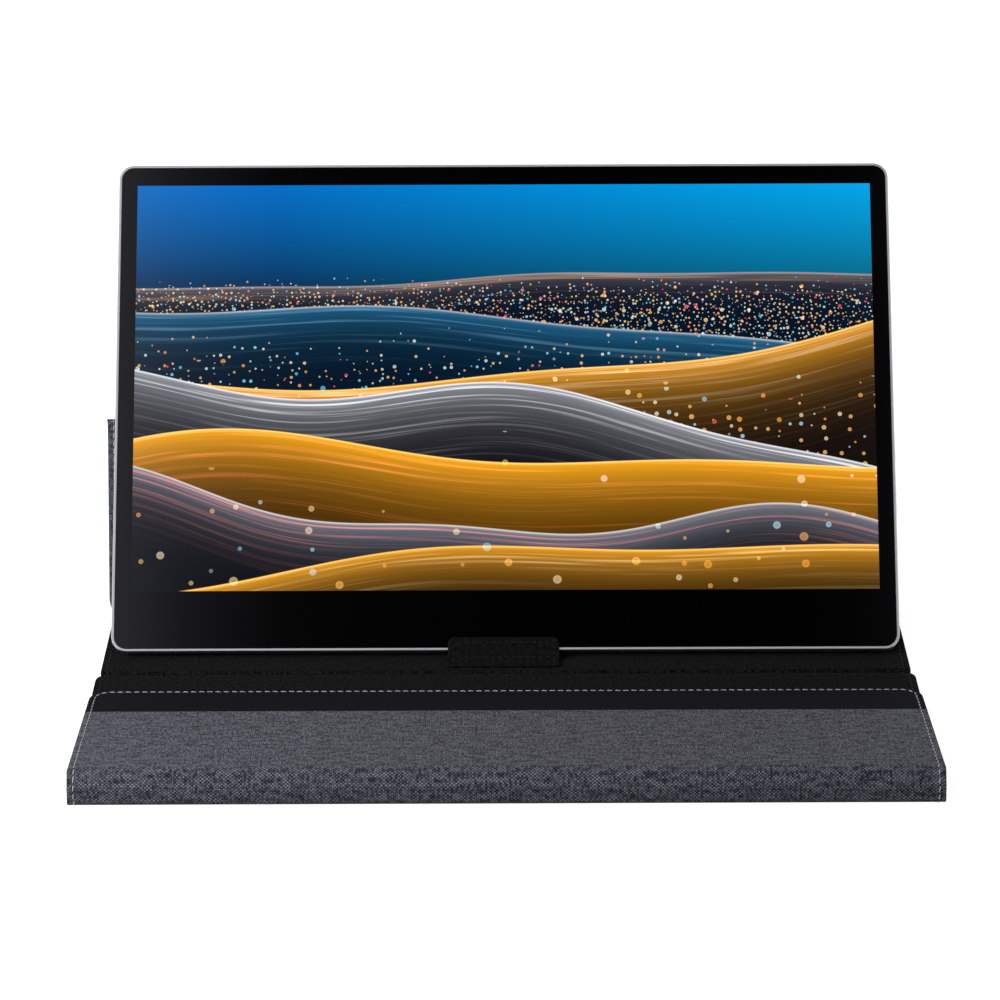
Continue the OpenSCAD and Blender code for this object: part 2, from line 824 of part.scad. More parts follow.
module menu_rocker() {
  color([0.7, 0.71, 0.73])
    on_monitor()
      difference() {
        union() {
          button_bar(rocker_y, rocker_len, button_inside - rocker_back);
          translate([button_inside - rocker_pin_in, rocker_y, button_z - button_w / 2])
            cylinder(r = rocker_hub_r, h = button_w);
          block([button_inside - rocker_pin_in, rocker_y - rocker_hub_r, button_z - button_w / 2],
            [button_inside, rocker_y + rocker_hub_r, button_z + button_w / 2]);
        }
        translate([button_inside - rocker_pin_in, rocker_y, button_z - button_w])
          cylinder(r = rocker_pin_r + button_fit, h = 2 * button_w);
      }
}

module button_board() {
  top = button_pcb_z + pcb_t;
  switch_top = button_z + button_w / 2 - button_fit;
  rocker_face = button_inside - rocker_back - switch_gap;
  power_face = button_inside - button_fit - button_flange - power_travel - inner_gap;
  color([0.1, 0.3, 0.16])
    on_monitor() {
      block([button_inside - button_pcb_w, rocker_y - rocker_len / 2 - button_pcb_end, button_pcb_z],
        [button_inside - inner_gap, power_y + power_len / 2 + button_pcb_end, top]);
      translate([button_inside - rocker_pin_in, rocker_y, top])
        cylinder(r = rocker_pin_r, h = button_z + button_w / 2 - top);
      for (y = [rocker_y - rocker_len / 3, rocker_y + rocker_len / 3])
        block([rocker_face - switch_w, y - switch_w / 2, top], [rocker_face, y + switch_w / 2, switch_top]);
      block([power_face - switch_w, power_y - switch_w / 2, top],
        [power_face, power_y + switch_w / 2, switch_top]);
    }
}

// ---------- Cover panels ----------

// Distance from a fold at which its sloped lining reaches height w, on top and underneath
function top_u(w, slope) = (w - axis_w) / tan(slope);
function under_u(w, slope) = top_u(w, slope) + lining_t / sin(slope);

// Edges of the layers at one end of a panel, listed upwards; a slope of 0 is a free edge
function lining_foot(slope) = slope > 0
  ? [[under_u(canvas_t, slope), canvas_t], [under_u(canvas_t + board_t, slope), canvas_t + board_t]]
  : [[0, canvas_t + board_t]];
function lining_top(slope) = slope > 0
  ? [[top_u(canvas_t + lining_t, slope), canvas_t], [top_u(canvas_t + lining_t, slope), canvas_t + lining_t],
      [top_u(panel_t, slope), panel_t]]
  : [[0, panel_t]];
function board_end(slope) = slope > 0
  ? lining_foot(slope)
  : [[canvas_t, canvas_t], [canvas_t, canvas_t + board_t]];
function canvas_end(slope) = slope > 0
  ? lining_foot(slope)
  : [[0, 0], [0, canvas_t + board_t]];

// The same edge at the panel's far end, and a list turned round
function far(pts, len) = [for (p = pts) [len - p[0], p[1]]];
function turned(pts) = [for (i = [len(pts) - 1:-1:0]) pts[i]];

// Outline in [along, height], pulled across the panel's width
module across(width) {
  rotate([90, 0, 90])
    linear_extrude(width, center = true)
      children();
}

// A panel is [length, width, slope at start, slope at end, corner radius at start, at end]
flap = [flap_len, cover_w, 0, plain_slope, flap_corner_r, 0];
spine = [spine_len, cover_w, plain_slope, plain_slope, 0, 0];
under = [under_len, cover_w, plain_slope, plain_slope, 0, under_corner_r];
base = [base_len, rear_w, plain_slope, rear_slope, base_corner_r, 0];
tent_rear = [tent_rear_len, tent_w, rear_slope, ridge_slope, 0, 0];
tent_front = [tent_front_len, tent_w, ridge_slope, 0, 0, tent_corner_r];

// Panel's outer form, set in by a distance from its sides, free edges and canvas face
module panel_form(panel, inset) {
  end = panel[0] - (panel[3] > 0 ? axis_w + fold_gap : 0);
  i0 = panel[2] > 0 ? 0 : inset;
  i1 = panel[3] > 0 ? 0 : inset;
  x = panel[1] / 2 - inset;
  r0 = max(panel[4] - inset, 0);
  r1 = max(panel[5] - inset, 0);
  re = max(edge_r - inset, 0);
  rl = inset > 0 ? 0 : lined_edge_r;
  e0 = panel[2] > 0 ? 0 : re;
  e1 = panel[3] > 0 ? 0 : re;
  l0 = panel[2] > 0 ? 0 : rl;
  l1 = panel[3] > 0 ? 0 : rl;
  intersection() {
    linear_extrude(panel_t)
      round_rect(-x, i0, x, end - i1, [r0, r0, r1, r1]);
    translate([0, panel[0], 0])
      rotate([90, 0, 0])
        linear_extrude(panel[0])
          round_rect(-x, inset, x, panel_t, [re, re, rl, rl]);
    across(panel[1])
      round_rect(i0, inset, end - i1, panel_t, [e0, e1, l1, l0]);
  }
}

module board_form(panel) {
  intersection() {
    panel_form(panel, canvas_t);
    across(panel[1])
      polygon(concat(board_end(panel[2]), turned(far(board_end(panel[3]), panel[0]))));
  }
}

module lining_form(panel) {
  intersection() {
    panel_form(panel, 0);
    across(panel[1])
      polygon(concat(lining_foot(panel[2]), turned(far(lining_foot(panel[3]), panel[0])),
        far(lining_top(panel[3]), panel[0]), turned(lining_top(panel[2]))));
  }
}

// Canvas sheet with its sides and free edges turned up round the board, and its rolled fold
module canvas_form(panel) {
  difference() {
    intersection() {
      panel_form(panel, 0);
      across(panel[1])
        union() {
          square([panel[0], canvas_t]);
          polygon(concat(canvas_end(panel[2]), turned(far(canvas_end(panel[3]), panel[0]))));
        }
    }
    board_form(panel);
  }
  if (panel[2] > 0)
    translate([0, 0, axis_w])
      rotate([0, 90, 0])
        cylinder(r = axis_w, h = panel[1] - 2 * max(edge_r, panel[4]), center = true);
}

// Pockets in a board for the magnets, in a row at distance u along the panel
module magnet_pockets(u, play, top) {
  floor_w = canvas_t + (board_t - magnet_t) / 2;
  for (x = magnet_xs)
    block([x - magnet_len / 2 - play, u - magnet_w / 2 - play, floor_w],
      [x + magnet_len / 2 + play, u + magnet_w / 2 + play, top]);
}

module magnets(u) {
  color([0.45, 0.45, 0.47])
    magnet_pockets(u, 0, canvas_t + (board_t + magnet_t) / 2);
}

module canvas(panel) {
  color([0.3, 0.31, 0.34])
    canvas_form(panel);
}

module board(panel) {
  color([0.55, 0.47, 0.36])
    board_form(panel);
}

module lining(panel) {
  color([0.1, 0.1, 0.105])
    lining_form(panel);
}

module board_with_magnets(panel, u) {
  color([0.55, 0.47, 0.36])
    difference() {
      board_form(panel);
      magnet_pockets(u, magnet_play, panel_t);
    }
}

// Flap's outer layer without its stretch from u0 to u1
module flap_skin_without(u0, u1) {
  difference() {
    canvas_form(flap);
    block([-cover_w, u0, -eps], [cover_w, u1, panel_t + eps]);
  }
}

module flap_canvas() {
  color([0.3, 0.31, 0.34])
    on_panel(flap_edge_at, flap_dir)
      flap_skin_without(-eps, strip_w);
}

module flap_strip() {
  color([0.11, 0.11, 0.12])
    on_panel(flap_edge_at, flap_dir)
      flap_skin_without(strip_w, flap_len);
}

module flap_board() {
  on_panel(flap_edge_at, flap_dir)
    board_with_magnets(flap, magnet_edge);
}

module flap_lining() {
  on_panel(flap_edge_at, flap_dir)
    lining(flap);
}

module flap_magnets() {
  on_panel(flap_edge_at, flap_dir)
    magnets(magnet_edge);
}

module spine_canvas() {
  on_panel(front_top_at, spine_dir)
    canvas(spine);
}

module spine_board() {
  on_panel(front_top_at, spine_dir)
    board(spine);
}

module spine_lining() {
  on_panel(front_top_at, spine_dir)
    lining(spine);
}

module under_canvas() {
  on_panel(front_low_at, 0)
    canvas(under);
}

module under_board() {
  on_panel(front_low_at, 0)
    board(under);
}

module under_lining() {
  on_panel(front_low_at, 0)
    lining(under);
}

module base_canvas() {
  on_panel(groove_at, 0)
    canvas(base);
}

module base_board() {
  on_panel(groove_at, 0)
    board_with_magnets(base, groove_to_foot + tent_foot_y);
}

module base_lining() {
  on_panel(groove_at, 0)
    lining(base);
}

module base_magnets() {
  on_panel(groove_at, 0)
    magnets(groove_to_foot + tent_foot_y);
}

// Puts a tent panel on its fold, with the sideways offset of the tent
module on_tent(at, dir) {
  translate([tent_shift, 0, 0])
    on_panel(at, dir)
      children();
}

module tent_rear_canvas() {
  on_tent(base_rear_at, tent_rear_dir)
    canvas(tent_rear);
}

module tent_rear_board() {
  on_tent(base_rear_at, tent_rear_dir)
    board(tent_rear);
}

module tent_rear_lining() {
  on_tent(base_rear_at, tent_rear_dir)
    lining(tent_rear);
}

module tent_front_canvas() {
  on_tent(ridge_at, tent_front_dir)
    canvas(tent_front);
}

module tent_front_board() {
  on_tent(ridge_at, tent_front_dir)
    board_with_magnets(tent_front, tent_front_len - magnet_edge);
}

module tent_front_lining() {
  on_tent(ridge_at, tent_front_dir)
    lining(tent_front);
}

module foot_magnets() {
  on_tent(ridge_at, tent_front_dir)
    magnets(tent_front_len - magnet_edge);
}

// ---------- Tab ----------

module tab_foot() {
  color([0.08, 0.08, 0.085])
    translate([tab_x, tab_axis_y, panel_t])
      intersection() {
        across(tab_w)
          union() {
            polygon([
              [-tab_foot_len, 0], [tab_miter - rest_gap, 0], [-rest_gap, tab_t], [-tab_foot_len, tab_t]
            ]);
            translate([0, tab_t])
              circle(tab_crease_r);
          }
        linear_extrude(2 * tab_t)
          round_rect(-tab_w / 2, -tab_foot_len, tab_w / 2, tab_miter, [tab_foot_r, tab_foot_r, 0, 0]);
      }
}

module tab_upright() {
  color([0.08, 0.08, 0.085])
    translate([tab_x, tab_axis_y, tab_axis_z])
      rotate([90 - lean, 0, 0])
        intersection() {
          across(tab_w)
            difference() {
              polygon([[0, 0], [2 * rest_gap - tab_miter, -tab_t], [tab_rise, -tab_t], [tab_rise, 0]]);
              circle(tab_crease_r + rest_gap);
            }
          translate([0, 0, -tab_t])
            linear_extrude(tab_t)
              round_rect(-tab_w / 2, -tab_miter, tab_w / 2, tab_rise, [0, 0, tab_top_r, tab_top_r]);
        }
}

rear_shell();
mid_frame();
cover_glass();
glass_tape();
lcd_cell();
optical_films();
light_guide();
reflector();
led_bar();
lcd_tray();
driver_board();
main_board();
button_board();
display_cable();
speakers();
speaker_leads();
usb_c_ports();
mini_hdmi_port();
audio_jack();
power_button();
menu_rocker();
frame_screws();
board_screws();
back_magnets();
flap_canvas();
flap_strip();
flap_board();
flap_lining();
flap_magnets();
spine_canvas();
spine_board();
spine_lining();
under_canvas();
under_board();
under_lining();
base_canvas();
base_board();
base_lining();
base_magnets();
tent_rear_canvas();
tent_rear_board();
tent_rear_lining();
tent_front_canvas();
tent_front_board();
tent_front_lining();
foot_magnets();
tab_foot();
tab_upright();
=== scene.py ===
"""Portable monitor standing in its folded folio cover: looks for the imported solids.

Lengths in the pieces' own arrays are millimetres in the object's frame: x across the
screen, y away from the viewer, z up. They are turned to metres where a mesh is made.
"""
import math
from functools import partial

import bpy
import numpy as np
from mathutils import Matrix, Vector


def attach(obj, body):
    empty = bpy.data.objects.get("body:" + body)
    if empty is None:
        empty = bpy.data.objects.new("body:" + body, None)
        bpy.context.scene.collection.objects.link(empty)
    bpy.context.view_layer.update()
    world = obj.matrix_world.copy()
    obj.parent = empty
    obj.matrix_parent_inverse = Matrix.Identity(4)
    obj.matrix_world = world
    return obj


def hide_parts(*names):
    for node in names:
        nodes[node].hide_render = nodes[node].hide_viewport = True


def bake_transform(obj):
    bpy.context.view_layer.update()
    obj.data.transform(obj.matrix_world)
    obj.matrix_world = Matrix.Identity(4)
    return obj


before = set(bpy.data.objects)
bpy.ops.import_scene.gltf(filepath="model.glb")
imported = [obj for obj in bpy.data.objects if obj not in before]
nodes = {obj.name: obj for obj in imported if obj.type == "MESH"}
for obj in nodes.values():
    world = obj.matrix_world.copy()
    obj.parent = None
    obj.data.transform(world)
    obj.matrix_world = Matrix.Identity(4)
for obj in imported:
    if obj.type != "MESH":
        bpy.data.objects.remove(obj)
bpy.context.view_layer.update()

# ---------------------------------------------------------------- studio
# A white sweep of paper under four soft boxes: a large one above on the left, a weaker one on the
# right, a low one behind and a small one near the front left corner. A long lens on a stand in
# front looks 22.5 degrees down.
scene = bpy.context.scene
scene.view_settings.view_transform = "Standard"

camera = bpy.data.objects.new("camera", bpy.data.cameras.new("camera"))
scene.collection.objects.link(camera)
scene.camera = camera
camera.data.sensor_width = 36.0
camera.data.lens = 129.6
camera.data.clip_start, camera.data.clip_end = 0.1, 20.0
pitch, roll = math.radians(22.5), math.radians(-0.2085)
right = Vector((1.0, 0.0, 0.0))
ahead = Vector((0.0, math.cos(pitch), -math.sin(pitch)))
upward = Vector((0.0, math.sin(pitch), math.cos(pitch)))
camera_x = math.cos(roll) * right + math.sin(roll) * upward
camera_y = -math.sin(roll) * right + math.cos(roll) * upward
stand = Matrix((camera_x, camera_y, -ahead)).transposed().to_4x4()
stand.translation = (-0.002278, -1.50404, 0.70197)
camera.matrix_world = stand


def feed(owner, socket, value):
    """Links an output socket to an input socket, or sets a number, vector or colour on it."""
    if isinstance(value, bpy.types.NodeSocket):
        getattr(owner, "node_tree", owner).links.new(value, socket)
    else:
        socket.default_value = (*value, 1.0) if socket.type == "RGBA" else value


def settle(owner, node, **values):
    """Gives a node of a material, world or group its inputs and settings by name, with _ for a space."""
    for key, value in values.items():
        socket = node.inputs.get(key.replace("_", " "))
        if socket is None:
            setattr(node, key, value)
        else:
            feed(owner, socket, value)
    return node


def add(owner, kind, **values):
    """A new node, settled."""
    return settle(owner, getattr(owner, "node_tree", owner).nodes.new(kind), **values)


def maths(owner, operation, *values):
    """One Math node on sockets or numbers, as its output."""
    node = add(owner, "ShaderNodeMath", operation=operation)
    for socket, value in zip(node.inputs, values):
        feed(owner, socket, value)
    return node.outputs[0]


def span(owner, value, start, end, low=0.0, high=1.0, easing="LINEAR"):
    """A value from start to end brought to low to high, and held beyond both ends."""
    return add(
        owner, "ShaderNodeMapRange", interpolation_type=easing, Value=value, From_Min=start, From_Max=end,
        To_Min=low, To_Max=high).outputs[0]


def ramp(owner, value, *stops, easing="LINEAR"):
    """A colour ramp on a value, from stops (place, colour), as its colour output."""
    node = add(owner, "ShaderNodeValToRGB", Fac=value)
    band = node.color_ramp
    band.interpolation = easing
    for end in (0, -1):
        band.elements[end].position, band.elements[end].color = stops[end][0], (*stops[end][1], 1)
    for place, colour in stops[1:-1]:
        band.elements.new(place).color = (*colour, 1)
    return node.outputs["Color"]


def mixed(owner, blend, share, first, second):
    """A colour Mix node on sockets, numbers or colours, as its colour output."""
    node = add(owner, "ShaderNodeMix", data_type="RGBA", blend_type=blend, Factor=share)
    feed(owner, node.inputs[6], first)
    feed(owner, node.inputs[7], second)
    return node.outputs[2]


def finish(name, colour, roughness, metallic=0.0, **more):
    """A new material and its Principled shader, with the even values set on the shader's own sockets."""
    look = bpy.data.materials.new(name)
    look.use_nodes = True
    shader = look.node_tree.nodes["Principled BSDF"]
    return look, settle(look, shader, Base_Color=colour, Roughness=roughness, Metallic=metallic, **more)


def paper_sweep(half, depth, curve, height):
    """Floor and wall in one sheet: y runs back to depth, then round a quarter circle of radius curve,
    then up."""
    turn = np.linspace(0.0, math.pi / 2, 17)
    y = np.concatenate([[-depth], depth + curve * np.sin(turn), [depth + curve]])
    z = np.concatenate([[0.0], curve * (1.0 - np.cos(turn)), [height]])
    x = np.array([-half, half])
    points = np.stack(np.broadcast_arrays(x[None, :], y[:, None], z[:, None]), -1).reshape(-1, 3)
    first = np.arange(len(y) - 1) * 2
    faces = np.stack([first, first + 1, first + 3, first + 2], 1)
    mesh = bpy.data.meshes.new("paper_sweep")
    mesh.from_pydata(points.tolist(), [], faces.tolist())
    mesh.polygons.foreach_set("use_smooth", np.ones(len(faces), bool))
    return mesh


# to the lens alone the paper glows, more with the distance from the middle, so the floor has no horizon
paper = bpy.data.objects.new("paper_sweep", paper_sweep(6.0, 6.0, 2.0, 6.0))
scene.collection.objects.link(paper)
paper_look, paper_shader = finish("white_paper", (0.42, 0.42, 0.42), 0.9, Specular_IOR_Level=0.1)
from_middle = add(
    paper_look, "ShaderNodeVectorMath", operation="LENGTH",
    Vector=add(paper_look, "ShaderNodeTexCoord").outputs["Object"]).outputs["Value"]
far_glow = span(paper_look, from_middle, 0.4, 1.8, 0.80, 1.0, easing="SMOOTHSTEP")
to_the_lens = add(paper_look, "ShaderNodeLightPath").outputs["Is Camera Ray"]
settle(
    paper_look, paper_shader, Emission_Strength=1.0,
    Emission_Color=maths(paper_look, "MULTIPLY", far_glow, to_the_lens))
paper.data.materials.append(paper_look)

# what glossy faces mirror: pale walls all round, and ahead and above a black flag that keeps the
# glass dark, with the soft edge of the left wall beside it
world = bpy.data.worlds.new("studio_air")
scene.world = world
world.use_nodes = True
world.node_tree.nodes.clear()
air_place = add(world, "ShaderNodeTexCoord").outputs["Generated"]
way = add(world, "ShaderNodeSeparateXYZ", Vector=air_place).outputs
flag_greys = ((0.16, 0.62), (0.22, 0.20), (0.32, 0.0), (0.78, 0.0), (0.86, 0.06))
flag = ramp(
    world, span(world, way["X"], -0.16, 0.16), (0.0, (0.80, 0.82, 0.90)),
    *((place, (grey, grey, grey * 1.08)) for place, grey in flag_greys), (1.0, (0.45, 0.45, 0.50)),
    easing="B_SPLINE")
flag_share = maths(
    world, "MULTIPLY", span(world, way["Y"], -0.1, -0.4, easing="SMOOTHSTEP"),
    span(world, way["Z"], 0.2, 0.45, easing="SMOOTHSTEP"))
mirrored = mixed(world, "MIX", flag_share, (0.78, 0.78, 0.79), flag)
ray = add(world, "ShaderNodeLightPath").outputs
spread_or_mirrored = mixed(world, "MIX", ray["Is Glossy Ray"], (0.36, 0.36, 0.37), mirrored)
seen = mixed(world, "MIX", ray["Is Camera Ray"], spread_or_mirrored, (1.0, 1.0, 1.0))
add(world, "ShaderNodeOutputWorld", Surface=add(world, "ShaderNodeBackground", Color=seen).outputs[0])

for name, place, target, size, power in (
    ("key_box", (-1.35, -1.15, 1.6), (0.0, -0.05, 0.05), (1.2, 1.2), 27.0),
    ("fill_box", (1.6, -1.0, 1.7), (0.0, -0.05, 0.05), (1.2, 1.2), 9.0),
    ("back_box", (0.2, 1.9, 0.75), (0.0, 0.0, 0.1), (2.0, 0.8), 26.0),
    ("front_left_box", (-0.62, -0.42, 0.42), (-0.12, -0.14, 0.0), (0.3, 0.25), 7.5),
):
    soft_box = bpy.data.objects.new(name, bpy.data.lights.new(name, "AREA"))
    scene.collection.objects.link(soft_box)
    soft_box.data.shape, soft_box.data.energy = "RECTANGLE", power
    soft_box.data.size, soft_box.data.size_y = size
    soft_box.visible_camera = soft_box.visible_glossy = False
    soft_box.location, soft_box.rotation_mode = place, "QUATERNION"
    soft_box.rotation_quaternion = (Vector(target) - Vector(place)).to_track_quat("-Z", "Y")

# ---------------------------------------------------------------- stiffening boards and magnets
# Grey board, 2 mm thick, stiffens every panel of the cover between its canvas and its lining.
# Flat nickel-plated magnets lie in pockets of the boards, where the panels hold together.


def new_group(name, takes, gives):
    """A new node group, from pairs (kind of socket, names) that it takes and gives. Returns the group, the
    sockets it takes by name, and the node that gives."""
    group = bpy.data.node_groups.new(name, "ShaderNodeTree")
    for side, sockets in (("INPUT", takes), ("OUTPUT", gives)):
        for kind, names in sockets:
            for socket_name in names.split(", "):
                group.interface.new_socket(socket_name, in_out=side, socket_type="NodeSocket" + kind)
    return group, add(group, "NodeGroupInput").outputs, add(group, "NodeGroupOutput")


def grain_group():
    """Speckle and pits: two scales of noise, one eight times finer, mixed half and half, as a value and a
    height."""
    group, taken, given = new_group(
        "fine_grain", [("Vector", "Vector"), ("Float", "Scale")], [("Float", "Value, Height")])
    finer = maths(group, "MULTIPLY", taken["Scale"], 8.0)
    coarse, fine = (
        add(group, "ShaderNodeTexNoise", Vector=taken["Vector"], Scale=scale, Detail=detail,
            Roughness=roughness).outputs["Fac"]
        for scale, detail, roughness in ((taken["Scale"], 3.0, 0.6), (finer, 2.0, 0.5)))
    both = maths(group, "ADD", coarse, fine)
    settle(group, given, Value=maths(group, "MULTIPLY", both, 0.5), Height=fine)
    return group


fine_grain = grain_group()


def cloth_place(look):
    """Places in metres on a piece's own UV map, which follows its cloth, leather or thread."""
    return add(look, "ShaderNodeUVMap", uv_map="cloth").outputs["UV"]


def relief(look, height, depth):
    """The normal of a surface whose height, from 0 to 1, stands for depth metres."""
    return add(look, "ShaderNodeBump", Strength=0.6, Distance=depth, Height=height).outputs["Normal"]


def speckled(name, dark, light, roughness, scale, bump, metallic=0.0, spread=(0.35, 0.65), on_cloth=False,
             rough_to=None, **more):
    """A material whose colour runs from dark to light with the grain, and whose surface is pitted by it."""
    look, shader = finish(name, light, roughness, metallic, **more)
    place = cloth_place(look) if on_cloth else add(look, "ShaderNodeTexCoord").outputs["Object"]
    grain = add(look, "ShaderNodeGroup", node_tree=fine_grain, Vector=place, Scale=scale).outputs
    settle(
        look, shader, Base_Color=ramp(look, grain["Value"], (spread[0], dark), (spread[1], light)),
        Normal=relief(look, grain["Height"], bump))
    if rough_to is not None:
        settle(look, shader, Roughness=span(look, grain["Value"], *spread, roughness, rough_to))
    return look


def dress(look, *names):
    """Gives CAD nodes a material."""
    for name in names:
        nodes[name].data.materials.clear()
        nodes[name].data.materials.append(look)


dress(
    speckled("grey_board", (0.17, 0.14, 0.11), (0.33, 0.28, 0.22), 0.85, 900.0, 0.0001),
    "flap_board", "spine_board", "under_board", "base_board", "tent_rear_board", "tent_front_board")
dress(
    speckled("nickel_plate", (0.5, 0.49, 0.46), (0.62, 0.61, 0.58), 0.28, 400.0, 0.00002, metallic=1.0),
    "flap_magnets", "base_magnets", "foot_magnets", "back_magnets")

# ---------------------------------------------------------------- outer canvas
# Heather grey plain-weave canvas wraps the outer face and the edges of every panel.
# It is glued over the boards and turned in under the lining all round.
panel_thick, cloth_wall = 3.0, 0.35
# hinge lines lie a little in from the outer face, fold_s mm along it from the flap's free edge, and
# each panel runs from its line at its heading
hinge_in = 0.25
axis_y = np.array([-45.3099, -142.279, -147.1, -21.3, 108.7, 63.3775])
axis_z = np.array([5.93784, 15.0865, 0.25, 0.25, 0.25, 94.5008])
heading = np.array([174.61035, 252.0, 360.0, 360.0, 475.682, 610.72])
fold_s = np.array([0.0, 97.4, 113.0, 238.8, 368.8, 473.382, 569.382])
# at each fold from 1 to 5: outer radius, slope of the lining down to the hinge, half the length that bends
fold_round = np.array([0.0, 4.4, 2.1, 0.0, 1.8, 0.5])
fold_slope = np.array([0.0, 45.0, 33.0, 50.0, 30.5, 21.0])
# cloth and stitches are made in five lengths with one fold each, cut in the middle of the panels
cuts = np.array([0.0, 105.2, 175.9, 303.8, 421.091, 569.382])
# half widths before the groove, behind it and at the tent, which stands a little to the left
front_half, rear_half, tent_half, tent_offset = 186.0, 184.5, 183.4, -2.0
# corner radii at the two free ends, and how far in the plain grid starts elsewhere
flap_corner, toe_corner, plain_corner = 10.0, 12.0, 8.0


def spine_swell(s):
    """How far the canvas swells out over the soft upper half of the spine: a rise from the fold to 2.3 mm at
    8 mm and a fall to the lower fold, joined by a soft minimum."""
    rise, fall = (s - fold_s[1] - 0.3) / 8.0, (fold_s[2] - 0.6 - s) / 7.0
    return 2.3 * np.maximum(rise + fall - np.sqrt((rise - fall) ** 2 + 0.02), 0.0) / 2


def along_cover(s, w):
    """Side view of the cover: s mm along its outer face from the flap's free edge, w mm in from that face.

    A panel is a straight run at its heading. At a fold of outer radius r, the last (r - hinge_in) tan(half
    the turn) of each panel is bent round one circle: the outer face is an arc and w shortens its radius."""
    s, w = np.broadcast_arrays(np.asarray(s, float), np.asarray(w, float))
    w = w - spine_swell(s) * np.clip(1.0 - w / panel_thick, 0.0, 1.2)
    k = np.clip(np.searchsorted(fold_s, s, side="right") - 1, 0, 5)
    a = np.radians(heading[k])
    u = s - fold_s[k]
    y = axis_y[k] + u * np.cos(a) - (w - hinge_in) * np.sin(a)
    z = axis_z[k] + u * np.sin(a) + (w - hinge_in) * np.cos(a)
    for j in (1, 2, 4, 5):
        r = fold_round[j]
        a0, a1 = math.radians(heading[j - 1]), math.radians(heading[j])
        reach = (r - hinge_in) * math.tan((a1 - a0) / 2)
        bent = np.abs(s - fold_s[j]) < reach
        cy = axis_y[j] - reach * math.cos(a0) - (r - hinge_in) * math.sin(a0)
        cz = axis_z[j] - reach * math.sin(a0) + (r - hinge_in) * math.cos(a0)
        turn = a0 - math.pi / 2 + (a1 - a0) * (s - fold_s[j] + reach) / (2 * reach)
        y = np.where(bent, cy + (r - w) * np.cos(turn), y)
        z = np.where(bent, cz + (r - w) * np.sin(turn), z)
    return y, z


def cover_depth(s):
    """Thickness at s: 3 mm over the boards, falling with the fold's slope to 0.9 mm at each hinge line. The
    two are joined by a soft minimum: half the sum less half the root of the squared difference plus 0.1."""
    s = np.asarray(s, float)
    depth = np.full(s.shape, panel_thick)
    for j in range(1, 6):
        slope = hinge_in + np.abs(s - fold_s[j]) * math.tan(math.radians(fold_slope[j]))
        depth = (depth + slope - np.sqrt((depth - slope) ** 2 + 0.1)) / 2
    return np.maximum(depth, 0.9)


def past_tent_fold(s):
    """0 before the tent's rear fold and 1 after it, along a smooth step 12 mm long."""
    t = np.clip((np.asarray(s, float) - fold_s[4] + 6.0) / 12.0, 0.0, 1.0)
    return t * t * (3.0 - 2.0 * t)


def round_corner(half, radius, past):
    """Half a panel's width, past mm in from its end, with a quarter circle of the radius at its corner."""
    return half - radius + np.sqrt(radius ** 2 - (radius - np.clip(past, 0.0, radius)) ** 2)


def cover_half(s):
    """Half the width at s. At the groove both panels have round corners, 6 mm and 2 mm in radius."""
    s = np.asarray(s, float)
    front = round_corner(front_half, 6.0, fold_s[3] - 0.5 - s)
    rear = round_corner(rear_half, 2.0, s - fold_s[3] - 0.3)
    return np.where(s < fold_s[3], front, rear) - (rear_half - tent_half) * past_tent_fold(s)


def rows_between(s0, s1, step=6.0):
    """Places along the cover from s0 to s1: every step mm on the flat, and closer towards each fold, both
    ways, in equal ratios."""
    steps = np.geomspace(9.0, 0.35, 15)
    near = (fold_s[1:6, None] + np.concatenate([-steps, [0.0], steps])).reshape(-1)
    flat = np.linspace(s0, s1, int(round((s1 - s0) / step)) + 1)
    flat = flat[(np.abs(flat[:, None] - fold_s[None, 1:6]).min(1) > 9.5) | (flat == s0) | (flat == s1)]
    return np.unique(np.concatenate([flat, near[(near > s0 + 0.1) & (near < s1 - 0.1)]]))


